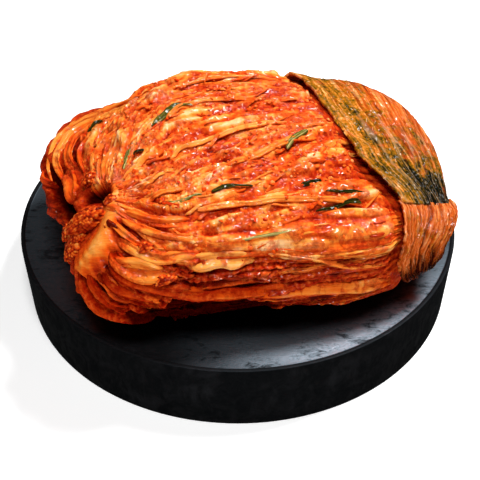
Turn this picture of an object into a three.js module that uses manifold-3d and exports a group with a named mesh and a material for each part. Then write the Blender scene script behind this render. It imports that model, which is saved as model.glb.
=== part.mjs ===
// A half head of cabbage kimchi, folded up with its outer leaf round one end, on a round black
// serving plate. Millimetres, +Z up. The origin is the middle of the plate's underside.
import * as THREE from 'three';
import { mergeVertices } from 'three/addons/utils/BufferGeometryUtils.js';
import Module from 'manifold-3d';

const wasm = await Module();
wasm.setup();

// ---------------------------------------------------------------- driving dimensions

const GAP = 0.3;                    // clearance between touching pieces

const PLATE_RADIUS = 120;
const PLATE_HEIGHT = 38;
const PLATE_RECESS = 1.5;           // the top lies this far below the rim
const RIM_WIDTH = 3;                // rounded lip round the top
const FOOT_ROUNDING = 5;            // rounding of the lower edge
const PLATE_FACETS = 72;

// The head before its swellings: half widths measured from a point above the plate.
const HEAD_MIDDLE = new THREE.Vector2(-23.1, -49);
const HEAD_TURN = degrees(8.5);     // the loaf's length runs this far off the X axis
const STEM_LENGTH = 62.4;           // from the middle to the stem end
const FOLD_LENGTH = 128.9;          // from the middle to the folded end
const FRONT_DEPTH = 56.4;
const BACK_DEPTH = 79.6;
const BACK_SPREAD = 0.16;           // the back sags outward below the middle
const RISE = 42.7;                  // height over the middle
const SINK = 34;                    // height of the middle above the plate
const STEM_FULLNESS = 3.3;          // powers of the rounded box: 2 is an ellipsoid
const FOLD_FULLNESS = 3;
const SECTION_FULLNESS = 3.36;
const STEM_FALL = 0.51;             // share of the rise lost at the stem end
const FOLD_FALL = 0.165;            // and at the folded end
const LEAN = 0.185;                 // the cut face leans to the front
const SKEW = 0.049;

const SWELLINGS = [
  // A hollow in the back shoulder, the round shoulder beside it, and the full folded end.
  { at: new THREE.Vector3(-0.50, 0.62, 0.60).normalize(), reach: 0.42, share: -0.15 },
  { at: new THREE.Vector3(-0.80, 0.55, 0.20).normalize(), reach: 0.40, share: 0.183 },
  { at: new THREE.Vector3(0.75, 0.45, 0.48).normalize(), reach: 0.45, share: 0.035 },
];

// The leaves grow from the stem, which is turned up and to the front from the loaf's own axis.
const STEM_LIFT = degrees(48.7);
const STEM_SWING = degrees(25.3);
const STEM_REACH = degrees(95);     // the turn fades out this far along

// Leaf edges round the head.
const LEAF_EDGES = 36;
const EDGE_CROWDING = 0.42;         // edges lie closer together on the cut face
const EDGE_HEIGHT = 1.9;
const EDGE_DEPTH = 2.3;
const EDGE_WANDER = 0.3;            // share of the spacing
const HEAD_ROWS = 28;
const LEAF_BED = 2.8;               // the head is this much slimmer under the wrapping leaves

// Loose leaf strips that lie on the head, fused to it.
const LOOSE_STRIPS = 10;
const STRIP_WIDTH = [4, 8];
const STRIP_HEIGHT = 2.6;
const STRIP_ROOT = 2.2;

// The wrapping leaves over the folded end, as angles round the loaf from the front.
const WRAP_START = 0.58;            // where the wrap begins, in the loaf's own axis
const WRAP_START_BACK = 0.2;        // it begins this much earlier over the back
const WRAP_END = 0.955;
const WRAP_BOTTOM = degrees(-34);
const WRAP_SPLIT = degrees(50);     // green above, orange below
const WRAP_SPLIT_FALL = degrees(8);
const WRAP_BACK = degrees(156);
const LEAF_THICKNESS = 1.9;
const LEAF_SLACK = 0.6;             // room between flat facets
const GREEN_FLARE = 1.8;            // how far the green leaf's free edge stands off

const COLOURS = {
  plate: 0x1c1b1e,
  cabbage: 0xd9571f,
  green_leaf: 0x86762a,
  end_leaf: 0xc9692d,
  green_strip: 0x3d4a24,
};

function degrees(angle) {
  return angle * Math.PI / 180;
}

// A repeatable stream of numbers from 0 to 1.
function numbers(seed) {
  let state = seed;
  return () => {
    state = (state * 1664525 + 1013904223) % 4294967296;
    return state / 4294967296;
  };
}

function smoothstep(from, to, value) {
  const t = THREE.MathUtils.clamp((value - from) / (to - from), 0, 1);
  return t * t * (3 - 2 * t);
}

// ---------------------------------------------------------------- the head's smooth form

// Direction from the head's middle: `along` is the angle from the stem, `round` the angle
// round it, from the back over the top to the front.
function leafDirection(along, round) {
  const x = -Math.cos(along);
  const y = Math.sin(along) * Math.cos(round);
  const z = Math.sin(along) * Math.sin(round);
  const near = THREE.MathUtils.clamp(1 - along / STEM_REACH, 0, 1);
  const turn = 0.6 * near + 0.4 * near * near * (3 - 2 * near);
  const lifted = new THREE.Vector3(x, y, z)
    .applyAxisAngle(new THREE.Vector3(0, 1, 0), STEM_LIFT * turn);
  return lifted.applyAxisAngle(new THREE.Vector3(0, 0, 1), STEM_SWING * turn);
}

// The smooth surface in a given direction.
function bodyPoint(direction) {
  const { x, y, z } = direction;
  const fullness = x < 0 ? STEM_FULLNESS : FOLD_FULLNESS;
  const section = (Math.abs(y) ** SECTION_FULLNESS + Math.abs(z) ** SECTION_FULLNESS)
    ** (1 / SECTION_FULLNESS);
  const scale = (Math.abs(x) ** fullness + section ** fullness) ** (-1 / fullness);
  let swelling = 1;
  for (const { at, reach, share } of SWELLINGS) {
    swelling += share * Math.exp(-direction.distanceToSquared(at) / reach ** 2);
  }
  const length = x < 0 ? STEM_LENGTH : FOLD_LENGTH;
  const alongLoaf = length * x * scale;
  const spread = y > 0 && z < 0 ? 1 + BACK_SPREAD * z * z : 1;
  const across = (y > 0 ? BACK_DEPTH : FRONT_DEPTH) * y * scale * spread;
  let up = (z > 0 ? RISE : SINK) * z * scale;
  if (z > 0) {
    const fall = x < 0 ? STEM_FALL : FOLD_FALL;
    up *= (1 - fall * (alongLoaf / length) ** 2) * swelling;
  }
  const sx = (alongLoaf - SKEW * across) * swelling;
  const sy = across * swelling;
  up += LEAN * sy * (up + SINK) / (SINK + RISE);
  return new THREE.Vector3(
    HEAD_MIDDLE.x + Math.cos(HEAD_TURN) * sx - Math.sin(HEAD_TURN) * sy,
    HEAD_MIDDLE.y + Math.sin(HEAD_TURN) * sx + Math.cos(HEAD_TURN) * sy,
    HEAD_FLOOR + up + SINK,
  );
}

const HEAD_FLOOR = PLATE_HEIGHT - PLATE_RECESS + GAP;
const HEAD_CENTRE = new THREE.Vector3(HEAD_MIDDLE.x, HEAD_MIDDLE.y, HEAD_FLOOR + SINK);

// The outward normal of the smooth surface.
function bodyNormal(direction) {
  const step = 0.004;
  const aside = new THREE.Vector3(direction.y, -direction.x, 0);
  if (aside.lengthSq() < 1e-6) aside.set(1, 0, 0);
  aside.normalize();
  const other = new THREE.Vector3().crossVectors(direction, aside);
  const difference = (axis) => {
    const plus = bodyPoint(direction.clone().addScaledVector(axis, step).normalize());
    return plus.sub(bodyPoint(direction.clone().addScaledVector(axis, -step).normalize()));
  };
  const normal = difference(aside).cross(difference(other)).normalize();
  const outward = bodyPoint(direction).sub(HEAD_CENTRE);
  return normal.dot(outward) < 0 ? normal.negate() : normal;
}

// A point lifted off the smooth surface, kept above the plate.
function liftedPoint(direction, lift) {
  const point = bodyPoint(direction).addScaledVector(bodyNormal(direction), lift);
  point.z = Math.max(point.z, HEAD_FLOOR);
  return point;
}

// ---------------------------------------------------------------- relief on the head

// Where the wrapping leaves begin, for an angle round the loaf from the front.
function wrapStart(angle) {
  return WRAP_START - 0.03 * smoothstep(degrees(50), degrees(70), angle)
    - WRAP_START_BACK * smoothstep(degrees(88), degrees(138), angle);
}

function wrapAngle(direction) {
  return Math.atan2(direction.z, -direction.y);
}

// 1 under the wrapping leaves, 0 on the open head.
function underWrap(direction) {
  const angle = wrapAngle(direction);
  const margin = direction.x - wrapStart(angle);
  const inside = smoothstep(-0.1, -0.03, margin);
  const round = smoothstep(WRAP_BOTTOM - 0.4, WRAP_BOTTOM - 0.15, angle)
    * (1 - smoothstep(WRAP_BACK + 0.15, WRAP_BACK + 0.4, angle));
  return inside * round;
}

// Hollows beside the stem, and the clump of seasoning between them.
const STEM_RELIEF = [
  { along: degrees(31), round: degrees(-14), reach: 0.19, lift: -8 },
  { along: degrees(17), round: degrees(-44), reach: 0.13, lift: -6 },
  { along: degrees(35), round: degrees(25), reach: 0.11, lift: -4 },
  { along: degrees(3), round: degrees(-69), reach: 0.1, lift: 4.5 },
];

function stemRelief(direction) {
  let lift = 0;
  for (const hollow of STEM_RELIEF) {
    const at = leafDirection(hollow.along, hollow.round);
    lift += hollow.lift * Math.exp(-direction.distanceToSquared(at) / hollow.reach ** 2);
  }
  return lift;
}

// Slow waves that differ from one leaf edge to the next.
function waver(along, phase) {
  return 0.6 * Math.sin(2.3 * along + phase) + 0.4 * Math.sin(5.7 * along + 2.6 * phase);
}

// Angles along the leaves that give rows an even distance apart on the cut face.
function evenRows(count) {
  const samples = 240;
  const lengths = [0];
  let last = bodyPoint(leafDirection(0, Math.PI / 2));
  for (let i = 1; i <= samples; i += 1) {
    const next = bodyPoint(leafDirection(Math.PI * i / samples, Math.PI / 2));
    lengths.push(lengths[i - 1] + next.distanceTo(last));
    last = next;
  }
  const rows = [];
  for (let i = 1; i < count; i += 1) {
    const wanted = lengths[samples] * i / count;
    const k = lengths.findIndex((length) => length >= wanted);
    const part = (wanted - lengths[k - 1]) / (lengths[k] - lengths[k - 1]);
    rows.push(Math.PI * (k - 1 + part) / samples);
  }
  return rows;
}

// The angle of a leaf edge round the stem: they crowd on the cut face.
function edgeAngle(index) {
  const even = 2 * Math.PI * index / LEAF_EDGES;
  return even - EDGE_CROWDING * Math.sin(even - Math.PI / 2);
}

function makeGeometry(points, triangles) {
  const geometry = new THREE.BufferGeometry();
  const positions = points.flatMap((point) => [point.x, point.y, point.z]);
  geometry.setAttribute('position', new THREE.Float32BufferAttribute(positions, 3));
  geometry.setIndex(triangles);
  geometry.computeVertexNormals();
  return geometry;
}

// The head's core: a trough and a crest for each leaf edge, from the stem to the folded end.
function coreGeometry() {
  const random = numbers(41);
  const edges = Array.from({ length: LEAF_EDGES }, () => ({
    phase: 6.3 * random(),
    strength: 0.45 + 0.55 * random(),
    bite: 0.3 + 0.7 * random(),
  }));
  const rows = evenRows(HEAD_ROWS);
  const columns = 2 * LEAF_EDGES;
  const points = [liftedPoint(leafDirection(0, 0), stemRelief(leafDirection(0, 0)))];
  for (const along of rows) {
    for (let column = 0; column < columns; column += 1) {
      const edge = edges[Math.floor(column / 2)];
      const crest = column % 2;
      const wander = EDGE_WANDER * waver(along, edge.phase);
      const round = edgeAngle(column / 2 + 0.2 * crest + wander * (1 - 0.3 * crest));
      const direction = leafDirection(along, round);
      const ends = smoothstep(0.05, 0.35, along) * (1 - smoothstep(2.85, 3.05, along));
      const change = 0.75 + 0.25 * waver(1.7 * along, 3 * edge.phase);
      const relief = crest
        ? EDGE_HEIGHT * edge.strength * change
        : -EDGE_DEPTH * edge.bite * change;
      const under = underWrap(direction);
      const lift = relief * ends * (1 - under) - LEAF_BED * under + stemRelief(direction);
      points.push(liftedPoint(direction, lift));
    }
  }
  points.push(liftedPoint(leafDirection(Math.PI, 0), -LEAF_BED));
  const triangles = [];
  const vertex = (row, column) => 1 + row * columns + (column % columns);
  for (let column = 0; column < columns; column += 1) {
    triangles.push(0, vertex(0, column + 1), vertex(0, column));
    const end = rows.length - 1;
    triangles.push(points.length - 1, vertex(end, column), vertex(end, column + 1));
    for (let row = 0; row < end; row += 1) {
      triangles.push(vertex(row, column), vertex(row + 1, column + 1), vertex(row + 1, column));
      triangles.push(vertex(row, column), vertex(row, column + 1), vertex(row + 1, column + 1));
    }
  }
  return makeGeometry(points, triangles);
}

// ---------------------------------------------------------------- strips and leaves

// A closed strip along a route of directions on the head, with a six-sided section.
function stripGeometry({ route, width, over, root, stations }) {
  const section = [[-1, 0.15], [-0.55, 1], [0.45, 1], [1, 0.15], [0.6, -1], [-0.6, -1]];
  const points = [];
  for (let i = 0; i <= stations; i += 1) {
    const t = i / stations;
    const direction = route(t);
    const ahead = bodyPoint(route(Math.min(t + 0.02, 1)));
    const behind = bodyPoint(route(Math.max(t - 0.02, 0)));
    const normal = bodyNormal(direction);
    const side = ahead.sub(behind).cross(normal).normalize();
    const fullness = 0.25 + 0.75 * Math.sqrt(Math.max(0, 1 - Math.abs(2 * t - 1) ** 3));
    const centre = bodyPoint(direction);
    for (const [aside, height] of section) {
      const lift = height > 0 ? height * over(t) : height * root(t);
      points.push(centre.clone()
        .addScaledVector(side, aside * fullness * width(t) / 2)
        .addScaledVector(normal, lift * (0.4 + 0.6 * fullness)));
    }
  }
  const triangles = [];
  const sides = section.length;
  for (let i = 0; i < stations; i += 1) {
    for (let k = 0; k < sides; k += 1) {
      const a = i * sides + k;
      const b = i * sides + (k + 1) % sides;
      triangles.push(a, b + sides, a + sides, a, b, b + sides);
    }
  }
  for (let k = 1; k < sides - 1; k += 1) {
    triangles.push(0, k + 1, k);
    const end = stations * sides;
    triangles.push(end, end + k, end + k + 1);
  }
  return makeGeometry(points, triangles);
}

// A thin leaf between an inner and an outer lift, over a grid of directions.
function leafGeometry({ direction, inner, outer, steps, strands }) {
  const points = [];
  const layer = (lift) => {
    for (let i = 0; i <= steps; i += 1) {
      for (let j = 0; j <= strands; j += 1) {
        const [u, w] = [i / steps, j / strands];
        points.push(liftedPoint(direction(u, w), lift(u, w)));
      }
    }
  };
  layer(inner);
  layer(outer);
  const row = strands + 1;
  const top = (steps + 1) * row;
  const triangles = [];
  for (let i = 0; i < steps; i += 1) {
    for (let j = 0; j < strands; j += 1) {
      const [a, b, c, d] = [i * row + j, (i + 1) * row + j, (i + 1) * row + j + 1, i * row + j + 1];
      triangles.push(a, b, c, a, c, d);
      triangles.push(top + a, top + c, top + b, top + a, top + d, top + c);
    }
  }
  const wall = (a, b) => triangles.push(a, top + a, top + b, a, top + b, b);
  for (let i = 0; i < steps; i += 1) {
    wall(i * row, (i + 1) * row);
    wall((i + 1) * row + strands, i * row + strands);
  }
  for (let j = 0; j < strands; j += 1) {
    wall(j + 1, j);
    wall(steps * row + j, steps * row + j + 1);
  }
  return makeGeometry(points, triangles);
}

// A direction on the wrapped end: `angle` runs round the loaf, `share` from the free edge
// (0) to the middle of the end (1). The strands draw together below.
function wrapDirection(angle, share) {
  const spread = 0.5 + 0.5 * smoothstep(WRAP_BOTTOM, degrees(45), angle);
  const start = wrapStart(angle);
  const x = start + share * (WRAP_END - start) * spread;
  const r = Math.sqrt(1 - x * x);
  return new THREE.Vector3(x, -r * Math.cos(angle), r * Math.sin(angle));
}

// Veins and slow folds of a wrapping leaf.
function leafWave(u, w, folds) {
  return 0.35 * (1 + Math.sin(folds * Math.PI * w + 1.4 * Math.sin(3 * u)))
    + 0.3 * (1 + Math.sin(5.1 * u + 2.3 * w));
}

function wrapLeaf({ from, to, flare, folds }) {
  const angleAt = (u, w) => from(w) + (to(w) - from(w)) * u;
  const inner = (u, w) => GAP + LEAF_SLACK - LEAF_BED + 0.5 * leafWave(u, w, folds)
    + flare * (1 - smoothstep(0, 0.3, w)) * smoothstep(0, 0.15, u);
  return leafGeometry({
    direction: (u, w) => wrapDirection(angleAt(u, w), w),
    inner,
    outer: (u, w) => inner(u, w) + LEAF_THICKNESS * (0.75 + 0.25 * Math.sin(folds * 3 * w)),
    steps: 18,
    strands: 12,
  });
}

function greenLeafGeometry() {
  return wrapLeaf({
    from: (w) => WRAP_SPLIT - WRAP_SPLIT_FALL * w + 0.02,
    to: () => WRAP_BACK,
    flare: GREEN_FLARE,
    folds: 7,
  });
}

function endLeafGeometry() {
  return wrapLeaf({
    from: () => WRAP_BOTTOM,
    to: (w) => WRAP_SPLIT - WRAP_SPLIT_FALL * w - 0.01,
    flare: 0,
    folds: 9,
  });
}

// ---------------------------------------------------------------- joining and cutting

function toSolid(geometry) {
  const bare = geometry.clone();
  bare.deleteAttribute('normal');
  const merged = mergeVertices(bare, 1e-4);
  return new wasm.Manifold(new wasm.Mesh({
    numProp: 3,
    vertProperties: merged.attributes.position.array,
    triVerts: new Uint32Array(merged.index.array),
  }));
}

function toGeometry(solid) {
  const mesh = solid.getMesh();
  const geometry = new THREE.BufferGeometry();
  const positions = new THREE.Float32BufferAttribute(mesh.vertProperties, mesh.numProp);
  geometry.setAttribute('position', positions);
  geometry.setIndex(Array.from(mesh.triVerts));
  geometry.computeVertexNormals();
  return geometry;
}

// ---------------------------------------------------------------- loose strips

// Leaf strips scattered over the cut face and the front, each following the leaves.
function looseStrips() {
  const random = numbers(7);
  const strips = [];
  for (let i = 0; i < LOOSE_STRIPS; i += 1) {
    const share = (i + 0.5 * random()) / LOOSE_STRIPS;
    const round = degrees(48 + 128 * share);
    const start = degrees(22 + 62 * random());
    const end = Math.min(start + degrees(24 + 46 * random()), degrees(108 - 4 * random()));
    const slant = degrees(7) * (random() - 0.5);
    const phase = 6 * random();
    const wide = STRIP_WIDTH[0] + (STRIP_WIDTH[1] - STRIP_WIDTH[0]) * random();
    strips.push({
      route: (t) => leafDirection(
        start + (end - start) * t,
        round + slant * (t - 0.5) + degrees(1.5) * Math.sin(4 * t + phase),
      ),
      width: (t) => wide * (1 + 0.15 * Math.sin(9 * t + phase)),
      over: () => STRIP_HEIGHT,
      root: () => STRIP_ROOT,
      stations: 9,
    });
  }
  return strips;
}

// Short pieces of green leaf pressed into the cut face: where each starts and ends, as
// angles along and round the leaves.
const GREEN_STRIPS = [
  { from: [43.5, 28], to: [49.5, 37.5], width: 5.5 },
  { from: [27, 78], to: [42, 74.5], width: 5 },
  { from: [40.5, 80.5], to: [51, 84], width: 4.5 },
  { from: [66, 77], to: [92, 72.5], width: 5.5 },
  { from: [55, 123.5], to: [88, 118.8], width: 5.5 },
  { from: [91, 118], to: [100, 117], width: 5 },
  { from: [109, 98.5], to: [114.3, 88], width: 5.5 },
  { from: [112.2, 121], to: [119.3, 123.5], width: 4.5 },
  { from: [109, 130.5], to: [117.6, 127.5], width: 4.5 },
  { from: [95.6, 139], to: [105, 137.4], width: 4.5 },
  { from: [108.6, 116.8], to: [112.6, 115.8], width: 3.5 },
];

function greenStrip({ from, to, width }, { spare = 0, above = 0 } = {}) {
  const stretch = spare / 60;
  return {
    route: (t) => {
      const s = t * (1 + 2 * stretch) - stretch;
      return leafDirection(
        degrees(from[0] + (to[0] - from[0]) * s),
        degrees(from[1] + (to[1] - from[1]) * s + 0.6 * Math.sin(5 * s)),
      );
    },
    width: () => width + 2 * spare,
    over: (t) => 2.3 + 0.3 * Math.sin(6 * t) + above,
    root: () => 0.8 + spare,
    stations: 8,
  };
}

// ---------------------------------------------------------------- sub-parts

function plateGeometry() {
  const top = PLATE_HEIGHT - PLATE_RECESS;
  const profile = new THREE.Path();
  profile.moveTo(0, 0);
  profile.lineTo(PLATE_RADIUS - FOOT_ROUNDING, 0);
  profile.quadraticCurveTo(PLATE_RADIUS - 0.6, 0.4, PLATE_RADIUS, FOOT_ROUNDING);
  profile.lineTo(PLATE_RADIUS, PLATE_HEIGHT - RIM_WIDTH / 2);
  profile.absarc(PLATE_RADIUS - RIM_WIDTH / 2, PLATE_HEIGHT - RIM_WIDTH / 2, RIM_WIDTH / 2,
    0, Math.PI, false);
  profile.lineTo(PLATE_RADIUS - RIM_WIDTH - 1, top);
  profile.lineTo(0, top);
  const geometry = new THREE.LatheGeometry(profile.getPoints(2), PLATE_FACETS);
  geometry.rotateX(Math.PI / 2);
  return geometry;
}

function headGeometry() {
  let head = toSolid(coreGeometry());
  for (const strip of looseStrips()) {
    head = head.add(toSolid(stripGeometry(strip)));
  }
  for (const strip of GREEN_STRIPS) {
    head = head.subtract(toSolid(stripGeometry(greenStrip(strip, { spare: 2 * GAP, above: 4 }))));
  }
  return toGeometry(head);
}

// ---------------------------------------------------------------- the object

const group = new THREE.Group();

function addMesh(name, geometry, colour, roughness) {
  const material = new THREE.MeshStandardMaterial({ color: colour, roughness, metalness: 0 });
  const mesh = new THREE.Mesh(geometry, material);
  mesh.name = name;
  group.add(mesh);
}

addMesh('plate', plateGeometry(), COLOURS.plate, 0.45);
addMesh('cabbage_head', headGeometry(), COLOURS.cabbage, 0.3);
addMesh('green_leaf', greenLeafGeometry(), COLOURS.green_leaf, 0.35);
addMesh('end_leaf', endLeafGeometry(), COLOURS.end_leaf, 0.35);
GREEN_STRIPS.forEach((strip, index) => {
  const geometry = stripGeometry(greenStrip(strip));
  addMesh(`green_strip_${index + 1}`, geometry, COLOURS.green_strip, 0.35);
});

export default group;
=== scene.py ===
"""A half head of cabbage kimchi on a round black plate, dressed over its CAD frame.

The head is built in leaf coordinates: an angle along the leaves from the stem, and an angle
round them from the back over the cut face to the front. Sizes are millimetres until a mesh
is written, in metres.
"""
import math

import bpy
import numpy as np
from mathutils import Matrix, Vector
from bpy.props import FloatVectorProperty, IntProperty, PointerProperty


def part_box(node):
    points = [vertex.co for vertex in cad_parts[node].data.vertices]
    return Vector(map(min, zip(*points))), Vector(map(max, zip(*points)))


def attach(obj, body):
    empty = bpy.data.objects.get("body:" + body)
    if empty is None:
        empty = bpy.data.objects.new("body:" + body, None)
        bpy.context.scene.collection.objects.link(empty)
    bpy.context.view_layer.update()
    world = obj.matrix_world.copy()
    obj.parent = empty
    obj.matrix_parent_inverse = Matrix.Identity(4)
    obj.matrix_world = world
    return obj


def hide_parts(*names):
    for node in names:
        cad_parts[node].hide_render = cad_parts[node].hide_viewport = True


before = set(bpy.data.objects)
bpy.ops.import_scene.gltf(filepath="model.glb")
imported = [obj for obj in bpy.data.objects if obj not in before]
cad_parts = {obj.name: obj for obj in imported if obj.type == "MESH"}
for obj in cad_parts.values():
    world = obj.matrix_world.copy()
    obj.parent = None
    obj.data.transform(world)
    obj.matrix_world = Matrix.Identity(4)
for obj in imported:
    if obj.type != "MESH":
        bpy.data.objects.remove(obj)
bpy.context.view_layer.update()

bl_info = {
    "name": "Cabbage kimchi on a plate",
    "version": (1, 0, 0),
    "blender": (4, 5, 0),
    "location": "3D View > Sidebar > Kimchi",
    "description": "Builds a half head of cabbage kimchi, its wrapping leaf and its plate",
    "category": "Object",
}

BODY = "root"
MM = 0.001


# ---- sizes and colours

def amount(label, default, least, about):
    return IntProperty(name=label, default=default, min=least, description=about)


def tint(label, default, about):
    return FloatVectorProperty(
        name=label, subtype="COLOR", default=default, description=about)


class KimchiSizes(bpy.types.PropertyGroup):
    """How many of each loose piece lie on the head."""

    long_leaves: amount(
        "Long cut leaves", 110, 10, "Long leaf edges that lie on the cut face")
    short_leaves: amount(
        "Short cut leaves", 140, 10, "Short, finer leaf edges that lie over the long ones")
    top_leaves: amount("Topmost cut leaves", 48, 5, "Long thin leaf edges that lie on top")
    front_leaves: amount("Front leaves", 90, 5, "Broad leaves on the sides of the head")
    shreds: amount(
        "Shreds", 100, 10, "Fine strands of leaf and radish between the leaf edges")
    crumbs: amount("Seasoning crumbs", 560, 10, "Chopped garlic, ginger and chilli")
    flakes: amount("Chilli flakes", 60, 10, "Flat dark red flakes")


class KimchiColours(bpy.types.PropertyGroup):
    """Colours of the seasoned leaves, as linear red, green and blue."""

    cream: tint("Cream", (0.95, 0.52, 0.22), "Leaf stems where the seasoning has run off")
    orange: tint("Orange", (0.80, 0.125, 0.016), "Stained leaf")
    red: tint("Red", (0.52, 0.030, 0.004), "Seasoning paste")
    # Deep places reach dark red partly through painted shade, which lowers the tone where the
    # leaves lie deep.
    dark_red: tint("Dark red", (0.13, 0.006, 0.002), "Paste deep between the leaves")


# ---- the head's smooth form

# The smooth form in millimetres: its middle and turn, its reach from the middle to the stem
# end, the folded end, the front, the back, the top and the floor, how square it is, how much
# the top falls towards each end, its lean, its skew and three broad swellings.
HEAD_MIDDLE = np.array([-23.1, -49.0])
HEAD_TURN = math.radians(8.5)
STEM_LENGTH, FOLD_LENGTH = 62.4, 128.9
FRONT_DEPTH, BACK_DEPTH, BACK_SPREAD = 56.4, 79.6, 0.16
RISE, SINK = 42.7, 34.0
STEM_FULLNESS, FOLD_FULLNESS, SECTION_FULLNESS = 3.3, 3.0, 3.36
STEM_FALL, FOLD_FALL = 0.51, 0.165
LEAN, SKEW = 0.185, 0.049
SWELLINGS = (
    ((-0.50, 0.62, 0.60), 0.42, -0.15),
    ((-0.80, 0.55, 0.20), 0.40, 0.183),
    ((0.75, 0.45, 0.48), 0.45, 0.035),
)
# Where the leaf lines start at the stem, and how they crowd on the cut face.
STEM_LIFT, STEM_SWING, STEM_REACH = np.radians([48.7, 25.3, 95.0])
EDGE_CROWDING = 0.42
LEAF_EDGES = 36
HEAD_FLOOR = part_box("cabbage_head")[0][2] / MM
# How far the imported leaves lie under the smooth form: in the open, under the wrapping leaves
# and in the undercut front, then how far the film and the ribbons sink under those leaves.
HEAD_BED, LEAF_BED, UNDERCUT_DEPTH = 2.6, 4.6, 5.5
FILM_TUCK, RIBBON_TUCK = 5.0, 3.4


def smoothstep(low, high, value):
    t = np.clip((value - low) / (high - low), 0, 1)
    return t * t * (3 - 2 * t)


def band(low, full, ebb, high, value):
    """1 from full to ebb, fading to 0 at low and at high."""
    return smoothstep(low, full, value) * (1 - smoothstep(ebb, high, value))


def leaf_edge(phase, peak):
    """The rounded profile of overlapping leaf edges: 1 at the peak and 0 at both ends."""
    edge = np.where(phase < peak, phase / peak, (1 - phase) / (1 - peak))
    return edge * edge * (3 - 2 * edge)


def unit(vectors):
    return vectors / np.maximum(np.linalg.norm(vectors, axis=-1, keepdims=True), 1e-12)


def leaf_direction(along, around):
    """Directions from the head's middle for angles along and round the leaves."""
    x = -np.cos(along)
    y = np.sin(along) * np.cos(around)
    z = np.sin(along) * np.sin(around)
    near = np.clip(1 - along / STEM_REACH, 0, 1)
    turn = 0.6 * near + 0.4 * near * near * (3 - 2 * near)
    lift, swing = STEM_LIFT * turn, STEM_SWING * turn
    x, z = x * np.cos(lift) + z * np.sin(lift), z * np.cos(lift) - x * np.sin(lift)
    x, y = x * np.cos(swing) - y * np.sin(swing), x * np.sin(swing) + y * np.cos(swing)
    return np.stack([x, y, z], -1)


def around_angle(share):
    """The angle round the leaves for a share of a turn: shares crowd on the cut face."""
    even = 2 * np.pi * share
    return even - EDGE_CROWDING * np.sin(even - np.pi / 2)


def share_of(around):
    """The share of a turn that has the given angle round the leaves."""
    shares = np.linspace(-0.5, 1.5, 4001)
    return np.interp(around, around_angle(shares), shares)


def body_point(direction):
    """The smooth surface in the given directions."""
    x, y, z = direction[..., 0], direction[..., 1], direction[..., 2]
    full = np.where(x < 0, STEM_FULLNESS, FOLD_FULLNESS)
    section = (np.abs(y) ** SECTION_FULLNESS + np.abs(z) ** SECTION_FULLNESS)
    section = section ** (1 / SECTION_FULLNESS)
    scale = (np.abs(x) ** full + section ** full) ** (-1 / full)
    swelling = np.ones_like(x)
    for at, reach, share in SWELLINGS:
        offset = direction - unit(np.array(at))
        swelling += share * np.exp(-(offset ** 2).sum(-1) / reach ** 2)
    length = np.where(x < 0, STEM_LENGTH, FOLD_LENGTH)
    fall = np.where(x < 0, STEM_FALL, FOLD_FALL)
    spread = np.where((y > 0) & (z < 0), 1 + BACK_SPREAD * z * z, 1)
    along = length * x * scale
    across = np.where(y > 0, BACK_DEPTH, FRONT_DEPTH) * y * scale * spread
    up = np.where(z > 0, RISE, SINK) * z * scale
    up = np.where(z > 0, up * (1 - fall * (along / length) ** 2) * swelling, up)
    along = (along - SKEW * across) * swelling
    across = across * swelling
    up = up + LEAN * across * (up + SINK) / (SINK + RISE)
    c, s = math.cos(HEAD_TURN), math.sin(HEAD_TURN)
    return np.stack([
        HEAD_MIDDLE[0] + c * along - s * across,
        HEAD_MIDDLE[1] + s * along + c * across,
        HEAD_FLOOR + up + SINK,
    ], -1)


def body_normal(direction):
    """Outward normals of the smooth surface."""
    step = 0.004
    aside = np.stack([direction[..., 1], -direction[..., 0], 0 * direction[..., 0]], -1)
    flat = np.linalg.norm(aside, axis=-1) < 1e-3
    aside[flat] = (1.0, 0.0, 0.0)
    aside = unit(aside)
    other = np.cross(direction, aside)

    def difference(axis):
        plus = body_point(unit(direction + step * axis))
        return plus - body_point(unit(direction - step * axis))

    normal = unit(np.cross(difference(aside), difference(other)))
    centre = np.array([HEAD_MIDDLE[0], HEAD_MIDDLE[1], HEAD_FLOOR + SINK])
    outward = (normal * (body_point(direction) - centre)).sum(-1, keepdims=True)
    return np.where(outward < 0, -normal, normal)


def on_head(along, around):
    """The direction, the smooth surface and its normal at angles along and round the leaves."""
    direction = leaf_direction(along, around)
    return direction, body_point(direction), body_normal(direction)


def spline(points, count):
    """A smooth curve through points, with count points of its own."""
    points = np.asarray(points, float)
    padded = np.vstack([2 * points[0] - points[1], points, 2 * points[-1] - points[-2]])
    t = np.linspace(0, len(points) - 1 - 1e-9, count)
    k = t.astype(int)
    f = (t - k)[:, None]
    a, b, c, d = padded[k], padded[k + 1], padded[k + 2], padded[k + 3]
    return 0.5 * (2 * b + (c - a) * f + (2 * a - 5 * b + 4 * c - d) * f ** 2
                  + (3 * b - a - 3 * c + d) * f ** 3)


def leaf_spline(points, count):
    """A smooth path through angles given in degrees, also close to the stem."""
    along, around = np.radians(np.array(points, float)).T
    flat = spline(np.stack([along * np.cos(around), along * np.sin(around)], -1), count)
    along = np.hypot(flat[:, 0], flat[:, 1])
    return np.stack([along, np.arctan2(flat[:, 1], flat[:, 0])], -1)


# ---- repeatable noise

def lattice(x, y, z, seed):
    """A repeatable number from -1 to 1 for each whole-number cell."""
    key = x.astype(np.int64) * 73856093 + y.astype(np.int64) * 19349663
    key = (key + z.astype(np.int64) * 83492791 + seed * 7919) & 0xFFFFFFFF
    key = ((key ^ (key >> 13)) * 1274126177) & 0xFFFFFFFF
    return (key ^ (key >> 16)) / 2147483648.0 - 1.0


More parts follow.
